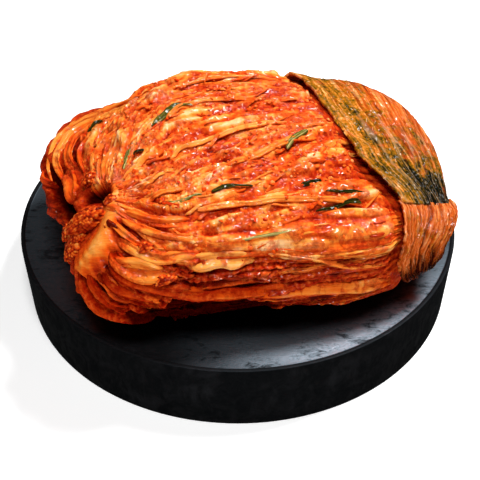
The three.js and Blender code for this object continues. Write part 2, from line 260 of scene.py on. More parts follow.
def noise(x, y, z=0.0, seed=0):
    """Smooth noise from -1 to 1 over three coordinates."""
    places = np.broadcast_arrays(*(np.asarray(value, float) for value in (x, y, z)))
    cells = [np.floor(value) for value in places]
    parts = [value - cell for value, cell in zip(places, cells)]
    fades = [part ** 3 * (part * (6 * part - 15) + 10) for part in parts]
    total = np.zeros_like(places[0])
    for corner in range(8):
        steps = [(corner >> axis) & 1 for axis in range(3)]
        weight = np.ones_like(total)
        for fade, step in zip(fades, steps):
            weight *= fade if step else 1 - fade
        total += weight * lattice(*(cell + step for cell, step in zip(cells, steps)), seed)
    return total


def bits(x, y, seed):
    """Packed bits one unit across: how high each point stands on its bit, and the bit's tone."""
    height, tone = np.zeros_like(x), np.zeros_like(x)
    nearest = np.full(x.shape, 9.0)
    for step_x in (-1, 0, 1):
        for step_y in (-1, 0, 1):
            cell_x, cell_y = np.floor(x) + step_x, np.floor(y) + step_y
            level = np.zeros_like(cell_x)
            at_x = cell_x + 0.5 + 0.42 * lattice(cell_x, cell_y, level, seed)
            at_y = cell_y + 0.5 + 0.42 * lattice(cell_x, cell_y, level, seed + 1)
            own = 0.5 + 0.5 * lattice(cell_x, cell_y, level, seed + 2)
            distance = (x - at_x) ** 2 + (y - at_y) ** 2
            closer = distance < nearest
            nearest = np.where(closer, distance, nearest)
            height = np.where(closer, (0.4 + 0.6 * own) * np.clip(1 - 1.6 * distance, 0, 1),
                              height)
            tone = np.where(closer, own, tone)
    return height, tone


def bundles(x, y, seed):
    """Rounded strands side by side: 0 in the thin gaps between them and 1 on top."""
    return np.sqrt(np.clip(2.6 * np.abs(noise(x, y, seed=seed)), 0, 1))


def layered(x, y, z=0.0, seed=0, layers=3):
    """Noise with finer and weaker layers added."""
    total, strength = 0.0, 1.0
    for layer in range(layers):
        factor = 2.03 ** layer
        total = total + strength * noise(x * factor, y * factor, np.asarray(z) * factor,
                                         seed + 31 * layer)
        strength *= 0.5
    return total / 1.75


# ---- relief on the head

WRAP_START, WRAP_START_BACK, WRAP_END = 0.58, 0.14, 0.955
WRAP_BOTTOM, WRAP_BACK = np.radians([-34.0, 156.0])
WRAP_SPLIT, WRAP_SPLIT_FALL = np.radians([50.0, 8.0])

# Ridges and hollows round the stem: a route in degrees along and round the head, its
# half width as an angle, its lift, and how much painted shade darkens it.
STEM_FORMS = (
    (((13, 96), (11, 131), (13, 157), (15, 177), (17, 195), (23, 222)), 0.085, 4.4, 0.0),
    (((32, -12), (29, -18), (26, -25)), 0.11, -3.5, -0.9),
    (((21, -32), (15, -50)), 0.10, -7.0, -1.1),
    (((12, 15), (9, 44), (6, 78)), 0.055, -6.0, -0.9),
    (((37, 18), (33, 19)), 0.05, -6.0, -0.9),
    (((20, 153), (27, 154), (33, 151)), 0.035, -5.0, -1.1),
    (((104, 46), (112, 47), (120, 50)), 0.16, -5.0, 0.0),
    (((64, 34), (72, 43), (82, 47)), 0.13, -5.6, 0.0),
    (((97, 47), (103, 47)), 0.1, 2.2, 0.0),
    (((54, 8), (60, 18)), 0.14, 2.5, 0.0),
    (((34, -38), (36, -26), (38, -10)), 0.14, 4.6, 0.0),
)


def wrap_start(angle):
    """Where the wrapping leaves begin, for an angle round the loaf from the front."""
    low, bend, rise, top, back = np.radians([-10, 40, 50, 70, 88])
    shift = 0.03 * smoothstep(rise, top, angle) - 0.05 * (1 - smoothstep(low, bend, angle))
    return WRAP_START - shift - WRAP_START_BACK * smoothstep(back, math.radians(138), angle)


def wrap_angle(direction):
    """The angle round the loaf from the front."""
    return np.arctan2(direction[..., 2], -direction[..., 1])


def under_wrap(direction):
    """1 under the wrapping leaves and 0 on the open head."""
    angle = wrap_angle(direction)
    inside = smoothstep(-0.045, 0.0, direction[..., 0] - wrap_start(angle))
    return inside * band(WRAP_BOTTOM - 0.35, WRAP_BOTTOM - 0.12,
                         WRAP_BACK + 0.12, WRAP_BACK + 0.35, angle)


def stem_relief(direction):
    """The lift of the ridges and hollows round the stem, and the painted shade in the hollows."""
    lift, shade = np.zeros((2,) + direction.shape[:-1])
    for route, reach, height, darker in STEM_FORMS:
        path = leaf_spline(route, 16)
        gaps = [((direction - at) ** 2).sum(-1) for at in leaf_direction(path[:, 0], path[:, 1])]
        near = np.exp(-np.min(gaps, axis=0) / reach ** 2)
        lift += height * near
        shade += darker * near
    return lift, shade


def undercut(along, around):
    """1 on the shaded underside of the front, by the stem half, and 0 elsewhere."""
    a, v = np.degrees(along), np.degrees(around) % 360
    top = 178 + 16 * smoothstep(94, 108, a) + 14 * (1 - smoothstep(60, 70, a))
    return band(top, top + 9, 262, 280, v) * band(54, 66, 100, 118, a)


def low_front(along, around):
    """How far a place lies in the shade on the lower part of the front."""
    shaded = band(160, 182, 262, 280, np.degrees(around) % 360)
    return shaded * (1 - 0.75 * smoothstep(96, 112, np.degrees(along)))


def head_relief(along, share):
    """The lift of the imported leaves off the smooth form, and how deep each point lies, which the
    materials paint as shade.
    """
    direction = leaf_direction(along, around_angle(share))
    wander = 0.55 * noise(2.1 * along, 7.0 * share, seed=3)
    wander += 0.22 * noise(6.5 * along, 19.0 * share, seed=4)
    edge = leaf_edge((LEAF_EDGES * share + wander) % 1.0, 0.28)
    strength = 0.55 + 0.45 * noise(3.0 * along, 13.0 * share, seed=5)
    open_head = 1 - under_wrap(direction)
    ends = band(0.3, 0.6, 2.85, 3.05, along)
    ribs = (3.4 * edge - 1.9) * strength
    strands = 1 - 2 * np.abs(layered(7.0 * along, 150 * share, seed=8, layers=2))
    fine = noise(16 * along, 420 * share, seed=9)
    grains = layered(58 * along, 150 * share, seed=10, layers=2)
    lift = (ribs + 0.75 * strands + 0.22 * fine + 0.32 * grains) * ends * open_head
    hollow, shade = stem_relief(direction)
    shaded = undercut(along, around_angle(share))
    lift = lift + hollow - HEAD_BED * open_head - LEAF_BED * (1 - open_head)
    lift = lift - UNDERCUT_DEPTH * shaded
    # Painted shade: the depth falls between the ribs, in the hollows by the stem and on the
    # undercut front.
    depth = 0.55 + (ribs + 0.5 * strands) / 5.0
    depth = depth * ends + 0.6 * (1 - ends) + shade - 0.7 * shaded
    return direction, lift, np.clip(depth, 0, 1)


def slopes(along, around, small):
    """How the smooth surface moves as each of the two angles grows."""
    here = body_point(leaf_direction(along, around))
    return [(body_point(leaf_direction(*moved)) - here) / small
            for moved in ((along + small, around), (along, around + small))]


def surface_step(along, around, angle):
    """Changes of both angles for one millimetre over the surface, at an angle to the leaves."""
    by_along, by_around = slopes(along, around, 0.003)
    length = np.maximum(np.linalg.norm(by_along, axis=-1), 8.0)
    ahead = by_along / length[..., None]
    skewed = (by_around * ahead).sum(-1)
    aside = by_around - skewed[..., None] * ahead
    step_around = np.sin(angle) / np.maximum(np.linalg.norm(aside, axis=-1), 8.0)
    return (np.cos(angle) - step_around * skewed) / length, step_around


def leaf_turn(along, around):
    """How far the cut leaves turn away from the lines that run out of the stem."""
    a, v = np.degrees(along), np.degrees(around)
    turned = np.exp(-((a - 90) / 44) ** 2 - ((v - 98) / 27) ** 2)
    return np.radians(-26 * turned + 7 * noise(2.6 * along, 3.1 * around, seed=50))


class LeafMap:
    """The highest lift laid so far over the head and the tone there, in leaf coordinates."""

    ROWS, COLUMNS = 520, 1200

    def __init__(self):
        along = (np.arange(self.ROWS) + 0.5) / self.ROWS * np.pi
        around = (np.arange(self.COLUMNS) + 0.5) / self.COLUMNS * 2 * np.pi - np.pi / 2
        grid = np.meshgrid(along, around, indexing="ij")
        _, self.lift, _ = head_relief(grid[0], share_of(grid[1]))
        self.tone = np.full(self.lift.shape, 0.3)
        self.trace_lanes()

    def trace_lanes(self):
        """How far the leaf line through each cell has moved round the head since the stem."""
        along = (np.arange(self.ROWS) + 0.5) / self.ROWS * np.pi
        around = (np.arange(3 * self.COLUMNS) + 0.5) / self.COLUMNS * 2 * np.pi - 5 * np.pi / 2
        middle = slice(self.COLUMNS, 2 * self.COLUMNS)
        self.lane_shift = np.zeros(self.lift.shape)
        for row in range(1, self.ROWS):
            here = np.full(self.COLUMNS, along[row])
            step = surface_step(here, around[middle], leaf_turn(here, around[middle]))
            back = around[middle] - step[1] / step[0] * (along[row] - along[row - 1])
            shift = np.tile(self.lane_shift[row - 1], 3)
            self.lane_shift[row] = np.interp(back, around, shift) + back - around[middle]

    def lane(self, along, around):
        """The angle at the stem of the leaf line through each place."""
        return around + self.read(along, around, self.lane_shift)

    def places(self, along, around):
        """Each place's row and column on the map, as fractions between the cells."""
        turn = (around + np.pi / 2) / (2 * np.pi) % 1.0
        return along / np.pi * self.ROWS - 0.5, turn * self.COLUMNS - 0.5

    def read(self, along, around, layer=None):
        """The value between cells at each place, of the lift or of another layer."""
        layer = self.lift if layer is None else layer
        row, column = self.places(along, around)
        row = np.clip(row, 0, self.ROWS - 1.001)
        i, j = np.floor(row).astype(int), np.floor(column).astype(int)
        u, w = row - i, column - j
        j, k = j % self.COLUMNS, (j + 1) % self.COLUMNS
        near = layer[i, j] * (1 - w) + layer[i, k] * w
        return near * (1 - u) + (layer[i + 1, j] * (1 - w) + layer[i + 1, k] * w) * u

    def under(self, paths, blur):
        """The lift laid so far below paths, with its bumps blurred."""
        return self.read(paths[..., 0], paths[..., 1], soften(self.lift, blur))

    def lay(self, along, around, lift, tone):
        """Marks a mesh at its vertices, fills the gaps and keeps whatever lies highest."""
        row, column = self.places(along, around)
        row = np.clip(np.rint(row).astype(int), 0, self.ROWS - 1)
        column = np.rint(column).astype(int) % self.COLUMNS
        order = np.argsort(lift)
        fresh, colour = np.full(self.lift.shape, -99.0), np.zeros(self.lift.shape)
        fresh[row[order], column[order]] = lift[order]
        colour[row[order], column[order]] = tone[order]
        for axis, step in 2 * ((0, 1), (0, -1), (1, 1), (1, -1)) + ((0, 1), (0, -1)):
            beside = np.roll(fresh, step, axis)
            colour = np.where(beside > fresh, np.roll(colour, step, axis), colour)
            fresh = np.maximum(beside, fresh)
        for _ in range(2):
            fresh = np.minimum(fresh, np.minimum(np.roll(fresh, 1, 0), np.roll(fresh, -1, 0)))
        self.tone = np.where(fresh > self.lift, colour, self.tone)
        self.lift = np.maximum(self.lift, fresh)


def soften(layer, times):
    """A layer of the map blurred over its neighbours."""
    for _ in range(times):
        for axis in (0, 1):
            layer = 0.5 * layer + 0.25 * (np.roll(layer, 1, axis) + np.roll(layer, -1, axis))
    return layer


laid = LeafMap()


# ---- working on meshes

def deselect():
    if bpy.context.object and bpy.context.object.mode != "OBJECT":
        bpy.ops.object.mode_set(mode="OBJECT")
    bpy.ops.object.select_all(action="DESELECT")


def make_active(obj):
    deselect()
    obj.select_set(True)
    bpy.context.view_layer.objects.active = obj


def edit(obj, *steps, chosen=None):
    """Runs edit mode steps on an object, with all of it or only chosen faces selected."""
    make_active(obj)
    if chosen is not None:
        mesh = obj.data
        for parts in (mesh.vertices, mesh.edges):
            parts.foreach_set("select", np.zeros(len(parts), bool))
        mesh.polygons.foreach_set("select", chosen)
        bpy.context.tool_settings.mesh_select_mode = (False, False, True)
    bpy.ops.object.mode_set(mode="EDIT")
    if chosen is None:
        bpy.ops.mesh.select_all(action="SELECT")
    for step in steps:
        step()
    bpy.ops.object.mode_set(mode="OBJECT")


def face_outwards():
    bpy.ops.mesh.normals_make_consistent(inside=False)


def add_grid(name, cells_x, cells_y):
    """A flat grid, and each vertex's column and row."""
    deselect()
    bpy.ops.mesh.primitive_grid_add(x_subdivisions=cells_x, y_subdivisions=cells_y, size=2)
    obj = bpy.context.object
    obj.name = obj.data.name = name
    places = read_points(obj)
    column = np.rint((places[:, 0] + 1) / 2 * cells_x).astype(int)
    row = np.rint((places[:, 1] + 1) / 2 * cells_y).astype(int)
    return obj, column, row


def read_points(obj):
    points = np.empty(3 * len(obj.data.vertices))
    obj.data.vertices.foreach_get("co", points)
    return points.reshape(-1, 3)


def write_points(obj, points):
    """Moves the vertices to points in millimetres, none of them below the head's floor."""
    points[:, 2] = np.maximum(points[:, 2], HEAD_FLOOR)
    obj.data.vertices.foreach_set("co", np.ascontiguousarray(points * MM, float).ravel())
    obj.data.update()


def write_values(obj, **layers):
    """Stores a number or a vector for each vertex under each name."""
    for name, values in layers.items():
        if name in ("tone", "depth"):
            values = np.clip(values, 0, 1)
        kind, key = ("FLOAT_VECTOR", "vector") if values.ndim == 2 else ("FLOAT", "value")
        layer = obj.data.attributes.new(name, kind, "POINT")
        layer.data.foreach_set(key, np.ascontiguousarray(values, np.float32).ravel())


def cut_between_strips(obj, row, cells_wide):
    """Takes out the faces that join one strip of a grid to the next."""
    corners = np.empty(len(obj.data.loops), int)
    obj.data.loops.foreach_get("vertex_index", corners)
    low = row[corners].reshape(-1, 4).min(1)
    edit(obj, lambda: bpy.ops.mesh.delete(type="FACE"),
         chosen=low % (cells_wide + 1) == cells_wide)


def finish_piece(obj, slot, material, *nodes, smooth=180):
    """Smooth shading, material and body, and hides the nodes that the piece stands for; slot is
    not used.
    """
    make_active(obj)
    if smooth >= 180:
        bpy.ops.object.shade_smooth()
    else:
        bpy.ops.object.shade_smooth_by_angle(angle=math.radians(smooth))
    obj.data.materials.clear()
    obj.data.materials.append(material)
    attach(obj, BODY)
    if nodes:
        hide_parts(*nodes)


def finish_sheet(obj, thickness, material, slot="seasoned_cabbage", *nodes, offset=-1.0):
    """Gives a sheet a thickness, turns its faces outwards and finishes it."""
    make_active(obj)
    solid = obj.modifiers.new("Thickness", "SOLIDIFY")
    solid.thickness = thickness * MM
    solid.offset = offset
    solid.use_even_offset = False
    bpy.ops.object.modifier_apply(modifier=solid.name)
    edit(obj, face_outwards)
    finish_piece(obj, slot, material, *nodes)


# ---- strips over the head

def follow_leaves(along, around, length, turn, stations):
    """Paths of along and around angles through the given middles, of the given lengths."""
    half = stations // 2
    paths = np.empty((len(along), stations + 1, 2))
    paths[:, half] = np.stack([along, around], -1)
    for way in (-1, 1):
        a, v = along.copy(), around.copy()
        for k in range(1, (stations - half if way > 0 else half) + 1):
            step = surface_step(a, v, leaf_turn(a, v) + turn)
            a = np.clip(a + way * step[0] * length / stations, 0.02, 3.1)
            v = v + way * step[1] * length / stations
            paths[:, half + way * k] = np.stack([a, v], -1)
    return paths


def open_places(random, count, low, high, favour=None):
    """Even random places, as angles in radians, between two corners given in degrees."""
    tries = 14 * count
    along = np.radians(random.uniform(low[0], high[0], tries))
    around = np.radians(random.uniform(low[1], high[1], tries))
    area = np.linalg.norm(np.cross(*slopes(along, around, 0.004)), axis=-1)
    chance = area / np.quantile(area, 0.97)
    if favour is not None:
        chance = chance * favour(along, around)
    direction = leaf_direction(along, around)
    chance = chance * (1 - under_wrap(direction))
    chance = chance * (1 - smoothstep(0.25, 0.6, -stem_relief(direction)[1]))
    kept = np.nonzero(random.random(tries) < chance)[0][:count]
    return along[kept], around[kept]


def ribbon_sheet(name, paths, wide, width, lift, tone, camber=0.1, tilt=0.3, dip=2.5,
                 rough=0.2, wiggle=1.0, seed=0, lay=True):
    """Many narrow leaves in one mesh, each a strip of its own along a path.

    paths is (leaves, stations, 2) angles, and wide the number of cells across a strip.
    width, lift and tone hold one value for each leaf, or lift one for each station.
    camber, tilt, dip, rough and wiggle shape the strips.
    """
    count, cells_long = len(paths), paths.shape[1] - 1
    random = np.random.default_rng(seed)
    camber = camber * width * random.uniform(0.3, 1.5, count)
    tilt = tilt * random.uniform(-1, 1, count)
    groove = random.uniform(0, 2 * np.pi, count)
    obj, column, row = add_grid(name, cells_long, count * (wide + 1) - 1)
    cut_between_strips(obj, row, wide)
    leaf, place = row // (wide + 1), row % (wide + 1)
    here = leaf, column
    along, around = paths[..., 0], paths[..., 1]
    direction, points, normals = on_head(along, around)
    side = unit(np.cross(normals, unit(np.gradient(points, axis=1))))
    run = np.concatenate([np.zeros((count, 1)), np.cumsum(
        np.linalg.norm(np.diff(points, axis=1), axis=-1), axis=1)], axis=1)
    s, own = run[here], 13.7 * leaf + seed
    across = 2 * place / wide - 1
    ends = np.clip(1 - np.abs(2 * (column / cells_long) - 1) ** 4, 0, 1)
    half = width[leaf] / 2 * (0.25 + 0.75 * np.sqrt(ends))
    half = half * (1 + 0.35 * wiggle * noise(s / 7, own, seed=21))
    offset = across * half + wiggle * (0.5 + 0.25 * half) * noise(s / 9, own, seed=23)
    shaded = undercut(along, around)[here]
    hollow, shade = (layer[here] * lay for layer in stem_relief(direction))
    if lift.ndim == 2:
        base = lift[here]
    else:
        base = lift[leaf] - HEAD_BED - UNDERCUT_DEPTH * shaded * lay + hollow
    base = base - RIBBON_TUCK * under_wrap(direction)[here]
    height = base + camber[leaf] * (1 - across ** 2) + tilt[leaf] * across * half
    height += 0.22 * half * np.cos(3.4 * across + groove[leaf] + 1.5 * noise(s / 12, own, seed=24))
    height += 0.16 * np.cos(2 * np.pi * offset / 1.7 + 2 * noise(s / 10, own, seed=26))
    height += 0.7 * wiggle * noise(s / 8, own, seed=22) - dip * (1 - np.sqrt(ends))
    shape = points[here] + side[here] * offset[:, None]
    height += rough * layered(*(shape.T / 1.9), seed=seed + 25, layers=2)
    write_points(obj, shape + normals[here] * height[:, None])
    # Painted shade: the depth falls where a strip lies low, in the hollows by the stem, on the
    # undercut front and on the lower front.
    depth = 0.7 + 0.12 * (height - base) - 0.8 * shaded + shade
    depth -= 0.42 * low_front(along, around)[here]
    write_values(obj, grain=np.stack([s, offset, 17.0 * leaf], -1) * MM, tone=tone[leaf],
                 depth=depth)
    if lay:
        step = surface_step(along, around, leaf_turn(along, around) + np.pi / 2)
        laid.lay(along[here] - offset * step[0][here], around[here] - offset * step[1][here],
                 height, tone[leaf])
    return obj


def placed_leaves(rows, stations):
    """The paths of a table's listed leaves, then each of its other columns."""
    paths = np.stack([leaf_spline(row[0], stations + 1) for row in rows])
    return paths, *np.array([row[1:] for row in rows], float).T


def drawn(random, draw, shape):
    """A number as it is, even draws between two, or bell-shaped draws kept between two."""
    if not isinstance(draw, tuple):
        return draw
    if len(draw) == 2:
        return random.uniform(*draw, shape)
    return np.clip(random.normal(*draw[:2], shape), *draw[2:])


def loose_leaves(name, material, thickness, random, places, stations, wide, length, turn,
                 width, lift, tone, near_stem=(1.0, 1.0), blur=0, level=0.5, **shape):
    """Leaves at random places, each along the leaf lines there.

    places holds how many to try for and the two corners, in degrees, that they lie between.
    stations and wide are the cells along and across each leaf. near_stem shortens them by
    the stem. With a blur they lie on what is laid so far, levelled out over their length by
    the share level.
    """
    along, around = open_places(random, *places)
    count = len(along)
    length = random.uniform(*length, count) * np.clip(along / near_stem[0], near_stem[1], 1)
    paths = follow_leaves(along, around, length, random.normal(0, turn, count), stations)
    width = random.uniform(*width, count)
    lift = drawn(random, lift, (count, 1) if blur else count)
    if blur:
        below = laid.under(paths, blur)
        lift = (1 - level) * below + level * below.mean(1, keepdims=True) + lift
    obj = ribbon_sheet(
        name, paths, wide, width, lift, drawn(random, tone, count), **shape)
    finish_sheet(obj, thickness, material)


# Broad leaves whose place shows: angles along and round the head in degrees, width, lift
# and tone (0 red, 0.5 orange, 1 cream).
STEM_LEAVES = (
    (((33, -26), (36, -16), (39, -7), (42, 1), (46, 9), (53, 20), (62, 33), (76, 54)),
     5.2, 2.4, 0.6),
    (((29, -4), (36, 1), (40, 9), (45, 16), (50, 25), (58, 42), (74, 60)), 5.0, 2.0, 0.6),
    (((28, 13), (34, 13), (40, 17), (46, 23), (50, 30), (60, 48)), 5.0, 2.2, 0.46),
    (((25, 25), (34, 24), (39, 29), (42, 40)), 3.6, 1.6, 0.4),
    (((19, 39), (27, 39), (34, 45), (43, 54), (56, 61)), 3.6, 1.8, 0.6),
    (((15, 52), (25, 53), (33, 59), (45, 66), (62, 71)), 3.4, 1.4, 0.5),
    (((29, 8), (23, 3), (18, -11)), 7.4, 2.2, 0.3),
    (((14, 136), (30, 134), (53, 131), (82, 128)), 3.0, 2.2, 0.5),
    (((16, 146), (31, 143), (51, 139), (77, 137), (90, 140)), 3.4, 2.8, 0.54),
    (((12, 161), (18, 155), (26, 153), (38, 150)), 3.6, 3.2, 0.46),
    (((25, 179), (31, 172), (39, 163), (49, 158), (60, 156)), 4.6, 3.2, 0.5),
    (((20, 166), (36, 157), (51, 152), (73, 146), (86, 146)), 4.6, 3.0, 0.54),
    (((22, 177), (32, 174), (42, 170), (53, 164), (70, 155)), 6.4, 3.4, 0.54),
    (((25, 184), (34, 182), (45, 178), (59, 174), (77, 171), (94, 172)), 5.4, 2.6, 0.48),
    (((24, 198), (34, 195), (45, 191), (58, 186), (79, 182)), 7.0, 1.6, 0.44),
    (((25, 227), (38, 228), (48, 224), (55, 215), (68, 205)), 9.0, 1.8, 0.42),
    (((23, 213), (36, 213), (47, 210), (56, 202)), 4.6, 1.8, 0.45),
    (((74, 150), (83, 149), (91, 148), (99, 150)), 7.6, 2.4, 0.68),
    (((48, 157), (59, 159), (72, 160)), 4.0, 0.8, 0.15),
    (((62, 172), (80, 173), (98, 176), (108, 180), (118, 188), (127, 197)), 6.5, 3.0, 0.68),
    (((86, 160), (98, 163), (108, 168), (118, 176), (126, 181)), 5.0, 0.4, 0.12),
    (((98, 146), (104, 149), (110, 155), (117, 164), (127, 172)), 2.2, 2.8, 0.7),
)

# The fan of fine leaf edges on the front, beside the wrapping leaf: from and to angles.
FAN_FROM, FAN_TO = ((90, 137), (104, 151)), ((127, 134), (127, 158))
FAN_EDGES = 16


def fan_sheet():
    """The fan of fine edges that rises from the front towards the fold."""
    random = np.random.default_rng(31)
    share = (np.arange(FAN_EDGES) + 0.5) / FAN_EDGES
    ends = [np.array(a) + np.outer(share, np.subtract(b, a)) for a, b in (FAN_FROM, FAN_TO)]
    t = np.linspace(0, 1, 41)[None, :, None]
    paths = np.radians(ends[0][:, None] + (ends[1] - ends[0])[:, None] * t)
    paths[..., 1] += 0.05 * np.sin(np.pi * t[..., 0]) * random.uniform(0.4, 1, (FAN_EDGES, 1))
    return ribbon_sheet(
        "fan_edges", paths, 5, random.uniform(1.8, 3.2, FAN_EDGES),
        random.uniform(1.4, 2.6, FAN_EDGES), random.uniform(0.45, 0.8, FAN_EDGES),
        tilt=0.45, dip=2.0, seed=78)


# ---- materials

def srgb(red, green, blue):
    """A linear colour from everyday 0 to 255 values."""
    def one(value):
        value = value / 255
        return value / 12.92 if value <= 0.04045 else ((value + 0.055) / 1.055) ** 2.4
    return (one(red), one(green), one(blue), 1.0)


class Nodes:
    """Short calls for building one material's nodes."""

    def __init__(self, name):
        self.material = bpy.data.materials.new(name)
        self.material.use_nodes = True
        self.tree = self.material.node_tree
        self.shader = self.tree.nodes["Principled BSDF"]
        self.place = self.node("ShaderNodeTexCoord").outputs["Object"]

    def node(self, kind, inputs=None, **settings):
        made = self.tree.nodes.new(kind)
        for key, value in settings.items():
            setattr(made, key, value)
        for key, value in (inputs or {}).items():
            self.set(made.inputs[key], value)
        return made

    def set(self, socket, value):
        if isinstance(value, bpy.types.NodeSocket):
            self.tree.links.new(value, socket)
        else:
            socket.default_value = value

    def attribute(self, name, output="Fac"):
        return self.node("ShaderNodeAttribute", attribute_name=name).outputs[output]

    def noise(self, vector, scale, detail=3.0, roughness=0.55, distortion=0.0):
        """Noise of one scale, or stretched by a scale for each axis."""
        if isinstance(scale, tuple):
            vector = self.node("ShaderNodeMapping", {"Vector": vector, "Scale": scale}).outputs[0]
            scale = 1.0
        return self.node("ShaderNodeTexNoise", {
            "Vector": vector, "Scale": scale, "Detail": detail, "Roughness": roughness,
            "Distortion": distortion}).outputs["Fac"]

    def ramp(self, value, stops):
        made = self.node("ShaderNodeValToRGB", {"Fac": value})
        elements = made.color_ramp.elements
        while len(elements) < len(stops):
            elements.new(0.5)
        for element, (place, colour) in zip(elements, stops):
            element.position = place
            element.color = tuple(colour[:3]) + (1.0,)
        return made.outputs["Color"]

    def grey(self, value, low, dark, high, light):
        """A grey that goes from dark at a low value to light at a high one."""
        return self.ramp(value, [(low, (dark,) * 3), (high, (light,) * 3)])

    def mix(self, share, first, second, mode="MIX"):
        made = self.node("ShaderNodeMix", data_type="RGBA", blend_type=mode)
        for index, value in ((0, share), (6, first), (7, second)):
            self.set(made.inputs[index], value)
        return made.outputs[2]

    def math(self, kind, first, second=0.0, third=0.0):
        made = self.node("ShaderNodeMath", operation=kind)
        for socket, value in zip(made.inputs, (first, second, third)):
            self.set(socket, value)
        return made.outputs[0]

    def shift(self, base, pattern, strength, middle=0.5):
        """A value moved by a strength times how far a pattern lies above its middle."""
        return self.math("MULTIPLY_ADD", self.math("SUBTRACT", pattern, middle), strength, base)

    def in_shade(self, body, stops):
        """A colour darkened by the depth between the leaves."""
        shade = self.ramp(self.attribute("depth"), stops)
        return self.mix(1.0, body, shade, "MULTIPLY")

    def bump(self, height, strength, distance, below=None):
        inputs = {"Height": height, "Strength": strength, "Distance": distance}
        if below is not None:
            inputs["Normal"] = below
        return self.node("ShaderNodeBump", inputs).outputs[0]

    def finish(self, **sockets):
        for key, value in sockets.items():
            self.set(self.shader.inputs[key.replace("_", " ")], value)
        return self.material

    def glaze(self, **sockets):
        """The finished material of food, whose shine comes from its coat of sauce alone."""
        return self.finish(Specular_IOR_Level=0.0, Subsurface_Scale=0.002, **sockets)


def leaf_material(name, spread=0.30, paste=0.5, gloss=0.5, fibre=1.9):
    """Seasoned leaf: cream to red by tone, fibres along the grain, blotched with paste, with
    painted shade where it lies deep.
    """
    colours = bpy.context.scene.kimchi_colours
    n = Nodes(name)
    grain, depth = n.attribute("grain", "Vector"), n.attribute("depth")
    tone = n.attribute("tone")
    # The tone falls with depth: partly paste gathered deep down, partly painted shade.
    for pattern, strength, middle in (
            (n.noise(grain, (30, 800, 1000), 4.0, 0.6), fibre * spread, 0.5),
            (n.noise(grain, (110, 230, 400), 3.0, 0.6), 1.9 * spread, 0.5),
            (n.noise(n.place, 36.0, 2.0, 0.5), 2.6 * spread, 0.5), (depth, 0.8, 0.7)):
        tone = n.shift(tone, pattern, strength, middle)
    body = n.ramp(tone, [(0.02, colours.dark_red), (0.24, colours.red),
                         (0.46, srgb(234, 90, 18)), (0.64, srgb(247, 132, 44)),
                         (0.82, srgb(252, 160, 70)), (1.0, colours.cream)])
    blotches = n.noise(n.place, 130.0, 4.0, 0.62, 0.7)
    cover = n.math("ADD", n.shift(blotches, depth, -0.25, 0.7), n.attribute("paste"))
    cover = n.grey(cover, 0.48, 0, 0.60, 1)
    pulp = n.noise(n.place, 520.0, 3.0, 0.6)
    seasoning = n.ramp(pulp, [(0.34, srgb(150, 14, 3)), (0.5, colours.red),
                              (0.66, colours.orange)])
    body = n.mix(n.math("MULTIPLY", cover, paste), body, seasoning)
    # Painted shade: darker and redder by depth.
    body = n.in_shade(body, [(0.0, (0.10, 0.03, 0.02)), (0.3, (0.72, 0.42, 0.3)),
                             (0.5, (1, 1, 1))])
    bump = n.bump(n.noise(grain, (160, 1500, 1000), 3.0, 0.6), 0.6, 0.0007)
    bump = n.bump(n.math("MULTIPLY", pulp, cover), 0.5, 0.0008, bump)
    ripples = n.noise(grain, (150, 420, 600), 0.0)
    drops = n.bump(n.math("ADD", ripples, n.noise(n.place, 300.0, 0.0)), 1.0, 0.0016)
    return n.glaze(
        Base_Color=body, Roughness=gloss, Normal=bump, Coat_Normal=drops,
        Coat_Weight=n.shift(0.0, depth, 2.1, 0.4), Coat_Roughness=0.07, Coat_IOR=1.42,
        Subsurface_Weight=0.1, Subsurface_Radius=(1.0, 0.3, 0.08))


def crumb_material():
    """Chopped garlic and chilli under a red glaze: tone runs from dark red to pink."""
    n = Nodes("seasoning")
    tone = n.shift(n.attribute("tone"), n.noise(n.place, 420.0, 2.0, 0.5), 0.5)
    body = n.ramp(tone, [(0.0, srgb(196, 36, 5)), (0.3, srgb(232, 78, 14)),
                         (0.7, srgb(246, 124, 44)), (1.0, srgb(252, 180, 120))])
    bump = n.bump(n.noise(n.place, 1500.0, 2.0, 0.6), 0.4, 0.0004)
    return n.glaze(
        Base_Color=body, Roughness=0.4, Normal=bump, Coat_Weight=0.5, Coat_Roughness=0.06,
        Coat_IOR=1.4, Subsurface_Weight=0.15, Subsurface_Radius=(1.0, 0.3, 0.1))


def flake_material():
    n = Nodes("chilli_flakes")
    body = n.ramp(n.noise(n.place, 300.0, 2.0), [
        (0.3, srgb(178, 30, 4)), (0.55, srgb(214, 54, 8)), (0.75, srgb(232, 90, 20))])
    return n.glaze(
        Base_Color=body, Roughness=0.4, Coat_Weight=0.3, Coat_Roughness=0.08, Coat_IOR=1.4)


